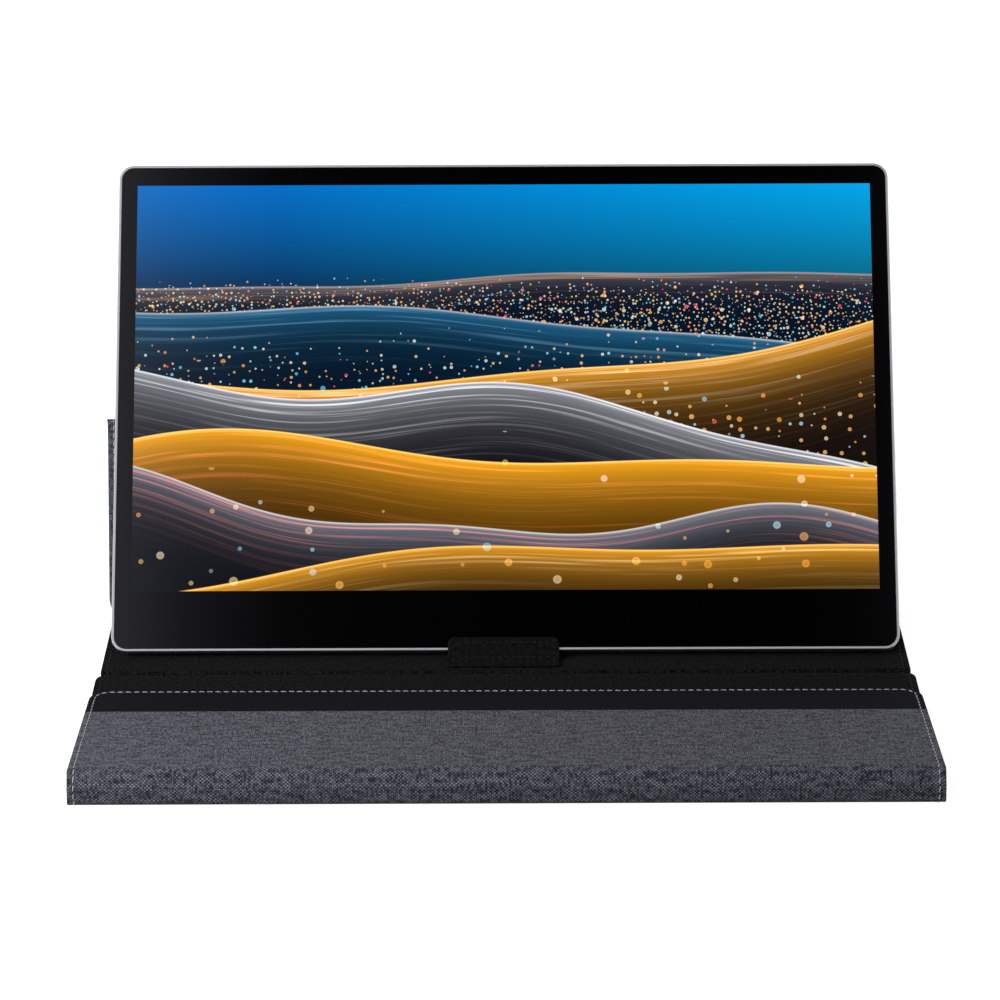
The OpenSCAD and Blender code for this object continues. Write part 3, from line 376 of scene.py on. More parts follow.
def skin_grid(rows, corners, ends, profile, columns, roll, half, depth):
    """Places (x, s, w) and cloth places (u, v) of a skin whose border is a profile of pairs (inset, height).

    The middle is a plain grid inset by the corner radius. Rings of the profile run round it: down both
    sides, and round a free end too, where ring k is an arc of radius corner less inset and the row and column
    numbers share out its quarter turn. Where the cover is thinner, the rolled edge shrinks with it."""
    d, h = profile[:, 0], profile[:, 1]
    rings = np.arange(1, len(d) + 1)
    beyond = np.concatenate([[0.0], np.cumsum(np.hypot(np.diff(d), np.diff(h)))])
    beyond = np.maximum(beyond - beyond[np.argmax(d <= roll)], 0.0)
    start_rings = rings[::-1] if ends[0] else rings[:0]
    end_rings = rings if ends[1] else rings[:0]
    row_ring = np.concatenate([start_rings, 0 * rows.astype(int), end_rings])
    row_s = np.concatenate([np.full(len(start_rings), rows[0]), rows, np.full(len(end_rings), rows[-1])])
    row_sign = np.concatenate([-np.ones(len(start_rings)), 0.0 * rows, np.ones(len(end_rings))])
    column_ring = np.concatenate([rings[::-1], np.zeros(columns, int), rings])
    side = np.concatenate([-np.ones(len(d)), np.linspace(-1, 1, columns), np.ones(len(d))])[None, :]
    r, c = row_ring[:, None] + 0 * column_ring, column_ring[None, :] + 0 * row_ring[:, None]
    k = np.maximum(r, c)
    share = np.minimum(r, c) / np.maximum(k, 1)
    slant = np.where(r >= c, 2.0 - share, share) * math.pi / 4
    s0 = row_s[:, None]
    corner = np.interp(s0, [rows[0], rows[-1]], corners)
    ring_d = np.where(k > 0, d[k - 1], corner)
    past = np.where(k > 0, beyond[k - 1], 0.0)
    scale = depth(s0) / panel_thick
    inner = np.minimum(half(rows).max(), half(rows[[0, -1]]).min()) - corner
    face = np.clip((corner - ring_d) / (corner - roll), 0.0, 1.0)
    flat = (half(s0) - roll * scale - inner) * face
    out = flat + scale * (roll - np.minimum(ring_d, roll))
    cloth = flat + scale * past
    end_out = corner - ring_d
    end_cloth = np.minimum(end_out, corner - roll) + past
    sideways, lengthways = np.cos(slant) * (c > 0), np.sin(slant) * (r > 0)
    x = side * (inner + np.where(r > 0, end_out, out) * sideways)
    u = side * (inner + np.where(r > 0, end_cloth, cloth) * sideways)
    s = s0 + row_sign[:, None] * end_out * lengthways
    v = s0 + row_sign[:, None] * end_cloth * lengthways
    w = np.where(k > 0, h[k - 1], h[0]) * scale
    return x, s, w, np.stack([u, v], -1).reshape(-1, 2)


def mesh_piece(name, points, faces, look, cloth, wall=0.0):
    """Object from millimetre points and faces, with its cloth places in metres as the UV map cloth, and a
    wall put on inwards."""
    mesh = bpy.data.meshes.new(name)
    mesh.from_pydata((points / 1000.0).tolist(), [], faces if isinstance(faces, list) else faces.tolist())
    layer = mesh.uv_layers.new(name="cloth")
    corner_of = np.empty(len(mesh.loops), np.int32)
    mesh.loops.foreach_get("vertex_index", corner_of)
    layer.data.foreach_set("uv", (cloth[corner_of] / 1000.0).astype(np.float32).reshape(-1))
    mesh.polygons.foreach_set("use_smooth", np.ones(len(mesh.polygons), bool))
    mesh.materials.append(look)
    piece = bpy.data.objects.new(name, mesh)
    scene.collection.objects.link(piece)
    if wall:
        sheet = piece.modifiers.new("wall", "SOLIDIFY")
        sheet.thickness, sheet.offset = wall / 1000.0, -1.0
        solid = bpy.data.meshes.new_from_object(piece.evaluated_get(bpy.context.evaluated_depsgraph_get()))
        piece.modifiers.clear()
        piece.data = solid
        solid.name = name
    return piece


def grid_faces(rows, columns, outward):
    """Four-sided faces of a grid: first index down the rows, second across the columns, turned over if
    outward is False."""
    index = np.arange(rows * columns).reshape(rows, columns)
    faces = np.stack([index[:-1, :-1], index[:-1, 1:], index[1:, 1:], index[1:, :-1]], -1).reshape(-1, 4)
    return faces if outward else faces[:, ::-1]


def on_cover(x, s, w):
    """Points of flat places: x moved by the tent's offset, (s, w) bent along the side view."""
    y, z = along_cover(s, w)
    return np.stack([x + tent_offset * past_tent_fold(s), y, z], -1).reshape(-1, 3)


def bend_at(piece):
    """Bakes the piece's placement into its mesh; the piece is already made bent at its one fold."""
    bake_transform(piece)


def drawn_noise(owner, across, along, seed, **detail):
    """Noise over a flat place at the height seed, drawn out the way whose number runs slower."""
    place = add(owner, "ShaderNodeCombineXYZ", X=across, Y=along, Z=seed).outputs[0]
    return add(owner, "ShaderNodeTexNoise", Vector=place, Scale=1.0, **detail).outputs["Fac"]


def weave_group():
    """Plain weave: cells are weft on top and warp on top in turn, like a chessboard, a warp pitch wide and a
    weft pitch long. Height is the half sine across the top thread, lowered by half towards the cell's ends.
    Heather is a noise drawn out nine cells along each thread and shared by the next two or three, plus a slub
    noise that varies about its middle every cell or so across and every three along."""
    group, taken, given = new_group(
        "plain_weave", [("Vector", "Vector"), ("Float", "Warp Pitch, Weft Pitch")],
        [("Float", "Height, Heather, Weft")])
    m = partial(maths, group)
    place = add(group, "ShaderNodeSeparateXYZ", Vector=taken["Vector"]).outputs
    across, along = m("DIVIDE", place["X"], taken["Warp Pitch"]), m("DIVIDE", place["Y"], taken["Weft Pitch"])
    column, row = m("FLOOR", across), m("FLOOR", along)
    weft = m("FLOORED_MODULO", m("ADD", column, row), 2.0)
    over_x, over_y = (m("SINE", m("MULTIPLY", m("FRACT", way), math.pi)) for way in (across, along))
    weft_height = m("MULTIPLY", over_y, m("MULTIPLY_ADD", over_x, 0.5, 0.5))
    warp_height = m("MULTIPLY", over_x, m("MULTIPLY_ADD", over_y, 0.5, 0.5))
    weft_streaks = drawn_noise(
        group, m("MULTIPLY", across, 0.11), m("MULTIPLY", row, 0.33), 2.0, Detail=2.0, Roughness=0.45)
    warp_streaks = drawn_noise(
        group, m("MULTIPLY", column, 0.57), m("MULTIPLY", along, 0.11), 8.0, Detail=2.0, Roughness=0.45)
    slub = drawn_noise(
        group, m("MULTIPLY", across, 0.80), m("MULTIPLY", along, 0.30), 0.0, Detail=1.0, Roughness=0.5)
    streaks = m("MULTIPLY_ADD", m("SUBTRACT", weft_streaks, warp_streaks), weft, warp_streaks)
    settle(
        group, given, Height=m("MULTIPLY_ADD", m("SUBTRACT", weft_height, warp_height), weft, warp_height),
        Heather=m("ADD", streaks, m("SUBTRACT", slub, 0.5)), Weft=weft)
    return group


canvas_look, canvas_shader = finish(
    "heather_canvas", (0.08, 0.08, 0.09), 0.9, Sheen_Weight=0.05, Sheen_Roughness=0.5, Specular_IOR_Level=0.1)
weave = add(
    canvas_look, "ShaderNodeGroup", node_tree=weave_group(), Vector=cloth_place(canvas_look),
    Warp_Pitch=0.00090, Weft_Pitch=0.00072).outputs
weft_yarn, warp_yarn = (
    ramp(canvas_look, weave["Heather"], (0.31, dark), (0.69, light)) for dark, light in (
        ((0.025, 0.027, 0.035), (0.130, 0.134, 0.161)), ((0.005, 0.006, 0.009), (0.047, 0.050, 0.063))))
yarn = mixed(canvas_look, "MIX", weave["Weft"], warp_yarn, weft_yarn)
# painted shade in the gaps between the threads: the yarn colour is darkened where the weave's height falls
painted_thread_gap_shade = maths(canvas_look, "MULTIPLY_ADD", weave["Height"], 0.75, 0.4)
settle(
    canvas_look, canvas_shader, Base_Color=mixed(canvas_look, "MULTIPLY", 1.0, yarn, painted_thread_gap_shade),
    Normal=relief(canvas_look, weave["Height"], 0.00022))


def rolled_edge(radius, places):
    """A quarter circle as pairs (inset, height), from a face round to its side."""
    turn = np.radians(np.linspace(0.0, 90.0, places))
    return radius * (1.0 - np.stack([np.sin(turn), np.cos(turn)], 1))


# the outer face with the stitches' dent 3 mm in, the rolled edge, the side, and the turned-in edge
canvas_roll = 1.2
canvas_profile = np.concatenate([
    [[7.0, 0.0], [5.0, 0.0], [4.0, 0.0], [3.5, 0.04], [3.0, 0.14], [2.5, 0.04], [2.0, 0.0]],
    rolled_edge(canvas_roll, 7), [[0.0, 1.8], [0.0, 2.25], [0.12, 2.4], [0.5, 2.46], [1.1, 2.44]]])
strip_wide = 27.0


def seam_dip(s, w):
    """Where the canvas meets the smooth strip, both run down into the seam: a bell curve 0.35 mm deep and
    0.45 mm wide."""
    return w + np.where(w < 0.5, 0.35 * np.exp(-(((s - strip_wide) / 0.45) ** 2)), 0.0)


def cover_skin(name, s0, s1, corners, ends, profile, edge_roll, look, *stands_for):
    """A length of the cover's cloth from s0 to s1, with rolled edges. Outer cloth, whose profile starts at
    height 0, gets close rows beside the strip's seam, and the lining is turned to face inwards."""
    outer = profile[0, 1] == 0.0
    lo, hi = s0 + corners[0] * ends[0], s1 - corners[1] * ends[1]
    rows = rows_between(lo, hi)
    if outer and s0 < strip_wide + 1.0:
        near = strip_wide + np.linspace(-1.2, 1.2, 13)
        rows = np.unique(np.round(np.concatenate([rows, near[(near > lo) & (near < hi)]]), 4))
    x, s, w, cloth = skin_grid(rows, corners, ends, profile, 31, edge_roll, cover_half, cover_depth)
    piece = mesh_piece(
        name, on_cover(x, s, seam_dip(s, w)), grid_faces(*x.shape, not outer), look, cloth, wall=cloth_wall)
    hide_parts(*stands_for)
    return piece


for fold, name, s0, corners, ends, stands_for in (
    (1, "flap", strip_wide, (flap_corner, plain_corner), (False, False), ("flap_canvas",)),
    (2, "spine", cuts[1], (plain_corner, plain_corner), (False, False), ("spine_canvas",)),
    (3, "floor", cuts[2], (plain_corner, plain_corner), (False, False), ("under_canvas", "base_canvas")),
    (4, "tent_rear", cuts[3], (plain_corner, plain_corner), (False, False), ("tent_rear_canvas",)),
    (5, "tent_front", cuts[4], (plain_corner, toe_corner), (False, True), ("tent_front_canvas",)),
):
    piece = cover_skin(
        "canvas_" + name, s0, cuts[fold], corners, ends, canvas_profile, canvas_roll, canvas_look,
        *stands_for)
    bend_at(piece)

# ---------------------------------------------------------------- smooth strip of the flap
# A band of navy-black smooth leathercloth edges the flap's free side. It is sewn to the canvas in a
# sunk seam and turned over the same board.
strip_look = speckled(
    "smooth_leathercloth", (0.0022, 0.0025, 0.0038), (0.0040, 0.0043, 0.0060), 0.6, 1500.0, 0.00003,
    on_cloth=True, rough_to=0.7, Specular_IOR_Level=0.08)
strip_piece = cover_skin(
    "smooth_strip", 0.0, strip_wide, (flap_corner, flap_corner), (True, False), canvas_profile, canvas_roll,
    strip_look, "flap_strip")
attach(strip_piece, "flap")

# ---------------------------------------------------------------- suede lining
# Black microfibre suede lines the inside of every panel, glued over the turned-in canvas and
# sunk into narrow grooves at the folds. Its edge is sewn down 3 mm in.
suede_look = speckled(
    "black_suede", (0.0, 0.0, 0.0), (0.0098, 0.0100, 0.0100), 0.95, 750.0, 0.00014, spread=(0.42, 0.60),
    on_cloth=True, Sheen_Weight=0.01, Sheen_Roughness=0.5, Specular_IOR_Level=0.02)
# the inner face with the stitches' dent, and the cut edge rolled down onto the canvas
lining_roll = 0.45
lining_profile = np.concatenate([
    [[7.0, 3.0], [5.0, 3.0], [4.0, 3.0], [3.5, 2.96], [3.0, 2.88], [2.5, 2.96], [2.0, 3.0], [1.2, 3.0]],
    rolled_edge(lining_roll, 5) * (1.0, -1.0) + (0.0, panel_thick), [[0.0, 2.52]]])

for fold, name, corners, ends, stands_for in (
    (1, "flap", (flap_corner, plain_corner), (True, False), ("flap_lining",)),
    (2, "spine", (plain_corner, plain_corner), (False, False), ("spine_lining",)),
    (3, "floor", (plain_corner, plain_corner), (False, False), ("under_lining", "base_lining")),
    (4, "tent_rear", (plain_corner, plain_corner), (False, False), ("tent_rear_lining",)),
    (5, "tent_front", (plain_corner, toe_corner), (False, True), ("tent_front_lining",)),
):
    piece = cover_skin(
        "lining_" + name, cuts[fold - 1], cuts[fold], corners, ends, lining_profile, lining_roll, suede_look,
        *stands_for)
    bend_at(piece)

# ---------------------------------------------------------------- border stitching
# One lockstitch seam runs round the whole cover, 3 mm in from its edge, through canvas, board edge and
# lining: pale thread on the canvas, black bobbin thread on the suede, a stitch every 3.65 mm.
seam_inset, seam_pitch, seam_stitch = 3.0, 3.65, 2.7


def border_line(inset):
    """The seam's line (x, s): up the right side at the cover's half width less the inset, with arcs at the
    free corners, and back down the left."""
    side_s = np.linspace(flap_corner, fold_s[6] - toe_corner, 3000)
    side = np.stack([cover_half(side_s) - inset, side_s], 1)
    turn = np.radians(np.linspace(0.0, 90.0, 13))
    around = np.stack([np.cos(turn), np.sin(turn)], 1)
    flap_arc = (flap_corner - inset) * around * (1.0, -1.0) + (front_half - flap_corner, flap_corner)
    toe_arc = (toe_corner - inset) * around + (tent_half - toe_corner, fold_s[6] - toe_corner)
    half_line = np.concatenate([flap_arc[::-1], side[1:-1], toe_arc])
    return np.concatenate([half_line, half_line[::-1] * (-1.0, 1.0), half_line[:1]])


def spaced(line, pitch):
    """Middles and unit directions of stitches every pitch mm (rounded to fit) along a line of points."""
    step = np.hypot(*np.diff(line, axis=0).T)
    reach = np.concatenate([[0.0], np.cumsum(step)])
    count = int(round(reach[-1] / pitch))
    at = (np.arange(count) + 0.5) * reach[-1] / count
    behind, middle, beyond = (
        np.stack([np.interp(at + off, reach, line[:, i]) for i in (0, 1)], 1) for off in (-0.6, 0.0, 0.6))
    way = beyond - behind
    return middle, way / np.hypot(*way.T)[:, None]


def stitch_places(middle, way, length, wide, high, sink, slant=0.12):
    """Stitches as capsules of five rings of six: at t from -1 to 1 along the stitch, the half width is
    wide (1 - t^4)^0.5 and the middle is lifted by high (1 - t^2) less sink. Each lies slant radians across
    its seam, as a lockstitch does. Gives (x, s, lift), faces and thread places."""
    way = way * math.cos(slant) + np.stack([-way[:, 1], way[:, 0]], 1) * math.sin(slant)
    across = np.stack([-way[:, 1], way[:, 0]], 1)
    t = np.array([-0.96, -0.6, 0.0, 0.6, 0.96])[:, None]
    turn = np.arange(6) * math.pi / 3
    girth = wide * np.sqrt(1.0 - t ** 4)
    tips = np.array([-1.0, 1.0]) * length / 2
    ahead_by = np.concatenate([(t * length / 2 + 0 * turn).reshape(-1), tips])
    aside = np.concatenate([(girth * np.cos(turn)).reshape(-1), 0 * tips])
    lift = high * (1.0 - t ** 2) - sink + 0.7 * girth * np.sin(turn)
    lift = np.concatenate([lift.reshape(-1), 0 * tips - sink])
    flat = middle[:, None] + way[:, None] * ahead_by[None, :, None] + across[:, None] * aside[None, :, None]
    around, following = np.arange(6), (np.arange(6) + 1) % 6
    ring = 6 * np.arange(4)[:, None]
    corners = ring + around, ring + following, ring + following + 6, ring + around + 6
    body = np.stack(corners, -1).reshape(-1, 4)
    caps = np.concatenate([
        np.stack([following, around, np.full(6, 30)], 1),
        np.stack([24 + around, 24 + following, np.full(6, 31)], 1)])
    shift = (np.arange(len(middle)) * 32)[:, None, None]
    faces = (body[None] + shift).reshape(-1, 4).tolist() + (caps[None] + shift).reshape(-1, 3).tolist()
    thread = np.stack([ahead_by, np.concatenate([np.tile(turn / math.pi, 5), 0 * tips])], 1)
    lift = np.broadcast_to(lift, flat.shape[:2])
    return flat[..., 0], flat[..., 1], lift, faces, np.tile(thread, (len(middle), 1))


def thread_look(name, dark, light):
    """Twisted thread: slanting ridges, sin(2 pi (place along / 0.55 mm + turn)), with a painted highlight on
    their crests and painted shade in the grooves between them.
    """
    look, shader = finish(name, light, 0.6)
    place = add(look, "ShaderNodeSeparateXYZ", Vector=cloth_place(look)).outputs
    slanting = maths(look, "MULTIPLY_ADD", place["Y"], 500.0, maths(look, "MULTIPLY", place["X"], 1818.0))
    wave = maths(look, "SINE", maths(look, "MULTIPLY", slanting, 2 * math.pi))
    ridge = maths(look, "MULTIPLY_ADD", wave, 0.5, 0.5)
    settle(
        look, shader, Base_Color=ramp(look, ridge, (0.0, dark), (1.0, light)),
        Normal=relief(look, ridge, 0.0001))
    return look


pale_thread = thread_look("pale_thread", (0.15, 0.15, 0.16), (0.36, 0.36, 0.37))
black_thread = thread_look("black_thread", (0.001, 0.001, 0.001), (0.005, 0.005, 0.005))
stitch_middle, stitch_way = spaced(border_line(seam_inset), seam_pitch)
for fold, name in enumerate(("flap", "spine", "floor", "tent_rear", "tent_front"), 1):
    here = (stitch_middle[:, 1] >= cuts[fold - 1]) & (stitch_middle[:, 1] < cuts[fold])
    x, s, lift, faces, thread = stitch_places(
        stitch_middle[here], stitch_way[here], seam_stitch, wide=0.29, high=0.14, sink=0.02)
    for side, w, thread_finish in (
        ("canvas", -lift, pale_thread), ("lining", cover_depth(s) + lift, black_thread),
    ):
        seam = mesh_piece(f"stitches_{side}_{name}", on_cover(x, s, w), faces, thread_finish, thread)
        bend_at(seam)
# the row that holds the smooth strip to the canvas lies in the canvas, just beside the sunk seam, and
# ends at the border's rows
seam_line = np.array([[-182.6, strip_wide + 0.55], [182.6, strip_wide + 0.55]])
x, s, lift, faces, thread = stitch_places(
    *spaced(seam_line, seam_pitch), seam_stitch, wide=0.34, high=0.10, sink=0.12, slant=0.0)
seam_stitches = mesh_piece(
    "stitches_strip_seam", on_cover(x, s, seam_dip(s, 0.0) - lift), faces, black_thread, thread)
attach(seam_stitches, "flap")

# ---------------------------------------------------------------- leather tab
# A stitched leather stop, 51 mm wide: its foot is sewn to the base and its upright leaf folds up
# against the bottom of the screen and keeps the monitor from sliding.
tab_half, tab_thick, tab_roll, tab_bend_r = 25.5, 1.4, 0.4, 0.5
# where the front's fold lies, and the angle from the base at which the leaf and the monitor stand
tab_middle, tab_y, tab_z = -0.9, -11.0266, 4.4
lean = math.radians(56.0)
leather_look, leather_shader = finish("black_leather", (0.012, 0.012, 0.013), 0.75, Specular_IOR_Level=0.08)
leather_place = cloth_place(leather_look)
pebbles = add(leather_look, "ShaderNodeTexVoronoi", feature="SMOOTH_F1", Vector=leather_place, Scale=1300.0)
leather_grain = add(
    leather_look, "ShaderNodeGroup", node_tree=fine_grain, Vector=leather_place, Scale=500.0).outputs["Value"]
leather_height = maths(leather_look, "SUBTRACT", leather_grain, pebbles.outputs["Distance"])
leather_colour = ramp(
    leather_look, leather_grain, (0.40, (0.0005, 0.0005, 0.0005)), (0.62, (0.0056, 0.0056, 0.0057)))
settle(
    leather_look, leather_shader, Base_Color=leather_colour,
    Normal=relief(leather_look, leather_height, 0.00008))


def on_tab(x, t, w):
    """Points of the tab: t mm along its front from the fold (below 0 the foot, above 0 the leaf), w mm in
    from the front. The front turns through the leaf's angle about a circle just beyond it, so the leather
    keeps its thickness."""
    half_arc = tab_bend_r * math.tan(lean / 2)
    a = (np.clip(t / half_arc, -1.0, 1.0) + 1.0) / 2 * lean
    foot, leaf = np.minimum(t + half_arc, 0.0), np.maximum(t - half_arc, 0.0)
    y = tab_y - half_arc + foot + (tab_bend_r + w) * np.sin(a) + leaf * math.cos(lean)
    z = tab_z + tab_bend_r - (tab_bend_r + w) * np.cos(a) + leaf * math.sin(lean)
    return np.stack([x + tab_middle, y, z], -1).reshape(-1, 3)


# the front and the back are two sheets that meet half way down the tab's edge
tab_profile = np.concatenate([
    [[1.6, 0.0], [1.2, 0.0], [0.8, 0.0]], rolled_edge(tab_roll, 5), [[0.0, tab_thick / 2]]])
tab_rows = np.unique(np.concatenate([
    np.linspace(-4.0, -0.6, 5), np.linspace(-0.5, 0.5, 9), np.linspace(0.6, 7.6, 8)]))
x, t, w, cloth = skin_grid(
    tab_rows, (1.8, 3.0), (True, True), tab_profile, 41, tab_roll,
    lambda s: tab_half + 0.0 * s, lambda s: panel_thick + 0.0 * s)
tab_leather = mesh_piece(
    "tab_leather", np.concatenate([on_tab(x, t, w), on_tab(x, t, tab_thick - w)]),
    np.concatenate([grid_faces(*x.shape, True), grid_faces(*x.shape, False) + x.size]), leather_look,
    np.concatenate([cloth, cloth]))
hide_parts("tab_foot", "tab_upright")

# rows run up both sides and across the leaf's top, above the fold and along the foot
row_side, row_top, row_low, row_foot = tab_half - 2.3, 8.2, 1.3, -2.1
tab_runs = [np.array([[side, row_foot - 1.4], [side, row_top - 1.2]]) for side in (-row_side, row_side)]
tab_runs += [np.array([[1.6 - row_side, row], [row_side - 1.6, row]]) for row in (row_top, row_low, row_foot)]
tab_stitches = [np.concatenate(part) for part in zip(*(spaced(run, 3.0) for run in tab_runs))]
# the needle holes are shallow sunk capsules coloured near black without shine: painted shade inside the holes
hole_shade_look = speckled(
    "needle_hole_shade", (0.0002, 0.0002, 0.0002), (0.0008, 0.0008, 0.0008), 1.0, 3000.0, 0.00002,
    Specular_IOR_Level=0.0)
tab_pieces = [tab_leather]
for name, look, length, wide, high, sink in (
    ("stitches_tab", black_thread, 2.0, 0.22, 0.02, 0.10),
    ("needle_hole_shades_tab", hole_shade_look, 0.85, 0.42, 0.0, 0.24),
):
    x, t, lift, faces, thread = stitch_places(*tab_stitches, length, wide, high, sink, slant=0.0)
    tab_pieces.append(mesh_piece(name, on_tab(x, t, -lift), faces, look, thread))
for piece in tab_pieces:
    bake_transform(piece)

# ---------------------------------------------------------------- monitor case
# The back is one pressed and anodised aluminium shell, bead-blasted to a fine satin. A moulded frame
# inside it carries the glass, the screen and the boards, and small steel screws hold it.
dress(
    speckled(
        "satin_aluminium", (0.88, 0.89, 0.90), (0.93, 0.94, 0.95), 0.28, 2500.0, 0.00002, metallic=1.0,
        rough_to=0.42),
    "rear_shell")
dress(
    speckled("moulded_frame", (0.010, 0.010, 0.011), (0.020, 0.020, 0.022), 0.5, 1800.0, 0.00004),
    "mid_frame")
dress(
    speckled("screw_steel", (0.28, 0.28, 0.29), (0.42, 0.42, 0.43), 0.3, 1500.0, 0.00002, metallic=1.0),
    "frame_screws", "board_screws")

# ---------------------------------------------------------------- screen stack
# The liquid-crystal cell, a stack of diffuser films, the light guide with its lamp bar and the white
# reflector lie in a pressed steel tray. A frame of black foam tape holds the cover glass over them.


def dress_each(*parts):
    """Gives each CAD node a speckled finish of its own: (name, dark, light, roughness, grain, metallic)."""
    for name, dark, light, roughness, scale, metallic in parts:
        dress(speckled(name + "_look", dark, light, roughness, scale, 0.00003, metallic), name)


dress_each(
    ("glass_tape", (0.006, 0.006, 0.006), (0.014, 0.014, 0.014), 0.9, 1500.0, 0.0),
    ("lcd_cell", (0.010, 0.010, 0.014), (0.016, 0.016, 0.022), 0.15, 300.0, 0.0),
    ("optical_films", (0.62, 0.63, 0.65), (0.72, 0.73, 0.75), 0.35, 600.0, 0.0),
    ("light_guide", (0.55, 0.62, 0.64), (0.66, 0.72, 0.74), 0.12, 400.0, 0.0),
    ("reflector", (0.78, 0.78, 0.78), (0.88, 0.88, 0.88), 0.5, 900.0, 0.0),
    ("led_bar", (0.70, 0.68, 0.55), (0.85, 0.84, 0.75), 0.45, 500.0, 0.0),
    ("lcd_tray", (0.42, 0.42, 0.43), (0.56, 0.56, 0.57), 0.35, 900.0, 1.0))

# ---------------------------------------------------------------- circuit boards and cable
# Green lacquered boards carry the display's drivers, the sockets and the buttons' switches. Four small
# screws hold the main board, and a flat amber film cable joins it to the driver board.
dress_each(
    ("driver_board", (0.010, 0.060, 0.022), (0.022, 0.110, 0.045), 0.35, 700.0, 0.0),
    ("main_board", (0.010, 0.058, 0.024), (0.024, 0.105, 0.048), 0.35, 650.0, 0.0),
    ("button_board", (0.012, 0.055, 0.022), (0.022, 0.100, 0.042), 0.35, 750.0, 0.0),
    ("display_cable", (0.30, 0.13, 0.03), (0.42, 0.20, 0.05), 0.3, 400.0, 0.0))

# ---------------------------------------------------------------- speakers, sockets and buttons
# Two speakers in black plastic boxes hang on thin red leads. The sockets, in drawn steel or black
# plastic, are soldered to the main board. The power button and the menu rocker are satin metal, set in
# the case's side.
dress_each(
    ("speakers", (0.010, 0.010, 0.011), (0.022, 0.022, 0.024), 0.55, 1200.0, 0.0),
    ("speaker_leads", (0.20, 0.012, 0.010), (0.32, 0.022, 0.018), 0.45, 1500.0, 0.0),
    ("usb_c_ports", (0.45, 0.45, 0.46), (0.60, 0.60, 0.61), 0.25, 1500.0, 1.0),
    ("mini_hdmi_port", (0.45, 0.44, 0.42), (0.60, 0.59, 0.56), 0.25, 1500.0, 1.0),
    ("audio_jack", (0.008, 0.008, 0.009), (0.018, 0.018, 0.019), 0.4, 1500.0, 0.0),
    ("power_button", (0.50, 0.51, 0.53), (0.60, 0.61, 0.63), 0.32, 2500.0, 1.0),
    ("menu_rocker", (0.50, 0.51, 0.53), (0.60, 0.61, 0.63), 0.32, 2500.0, 1.0))

# ---------------------------------------------------------------- cover glass and its picture
# One sheet of black-backed glass covers the whole front and is taped to the frame. The lit screen shows
# a wallpaper: rolling waves of light in blue, grey and amber, drawn into trails and strewn with soft
# lamps out of focus, under a dusk sky.
screen_tall, screen_half_wide, chin = 0.1936, 0.1721, 0.028
glass_look, glass_shader = finish(
    "cover_glass", (0.0002, 0.0002, 0.0003), 0.035, IOR=1.5, Emission_Strength=1.0)
gm = partial(maths, glass_look)
# the glass's own frame: x across and y up its face from the lower edge, z out of it
glass_place = add(
    glass_look, "ShaderNodeMapping", vector_type="TEXTURE", Location=(0.0, -0.00692165, 0.00735628),
    Rotation=(lean, 0.0, 0.0), Vector=add(glass_look, "ShaderNodeTexCoord").outputs["Object"]).outputs[0]
on_glass = add(glass_look, "ShaderNodeSeparateXYZ", Vector=glass_place).outputs


def light_wave_group():
    """One rolling wave of lights. Its crest is height + tilt x + swing (sin(turns x + phase) +
    0.35 sin(2.3 turns x + 1.7 phase)). Below the crest, at depth d, the glow fades to the deep colour as
    exp(-d / fade), a bright rim is exp(-(d / 0.0045)^2), and the trails are noise drawn out along the crest,
    each one a hair wide."""
    group, taken, given = new_group(
        "light_wave", [
            ("Float", "X, Y, Height, Tilt, Swing, Turns, Phase, Fade, Trail Width, Trail Share"),
            ("Color", "Under, Glow, Deep, Rim, Trails")], [("Color", "Color")])
    m = partial(maths, group)
    turn = m("MULTIPLY", taken["X"], taken["Turns"])
    slow = m("SINE", m("ADD", turn, taken["Phase"]))
    fast = m("SINE", m("MULTIPLY_ADD", turn, 2.3, m("MULTIPLY", taken["Phase"], 1.7)))
    swing = m("MULTIPLY", m("MULTIPLY_ADD", fast, 0.35, slow), taken["Swing"])
    crest = m("MULTIPLY_ADD", taken["X"], taken["Tilt"], m("ADD", swing, taken["Height"]))
    depth = m("SUBTRACT", crest, taken["Y"])
    fading = m("EXPONENT", m("DIVIDE", m("MULTIPLY", depth, -1.0), taken["Fade"]))
    rim = m("EXPONENT", m("MULTIPLY", m("POWER", m("DIVIDE", depth, 0.0045), 2.0), -1.0))
    drawn = drawn_noise(
        group, m("MULTIPLY", taken["X"], 1.1), m("DIVIDE", depth, taken["Trail Width"]), taken["Phase"],
        Detail=3.0, Roughness=0.7)
    lines = m("MINIMUM", m("MAXIMUM", m("MULTIPLY", m("SUBTRACT", drawn, 0.50), 6.0), 0.0), 1.0)
    trails = m("MULTIPLY", m("MULTIPLY", m("POWER", lines, 1.6), fading), taken["Trail Share"])
    body = mixed(group, "MIX", fading, taken["Deep"], taken["Glow"])
    body = mixed(group, "ADD", rim, body, taken["Rim"])
    body = mixed(group, "ADD", trails, body, taken["Trails"])
    settle(group, given, Color=mixed(group, "MIX", span(group, depth, 0.0, 0.003), taken["Under"], body))
    return group


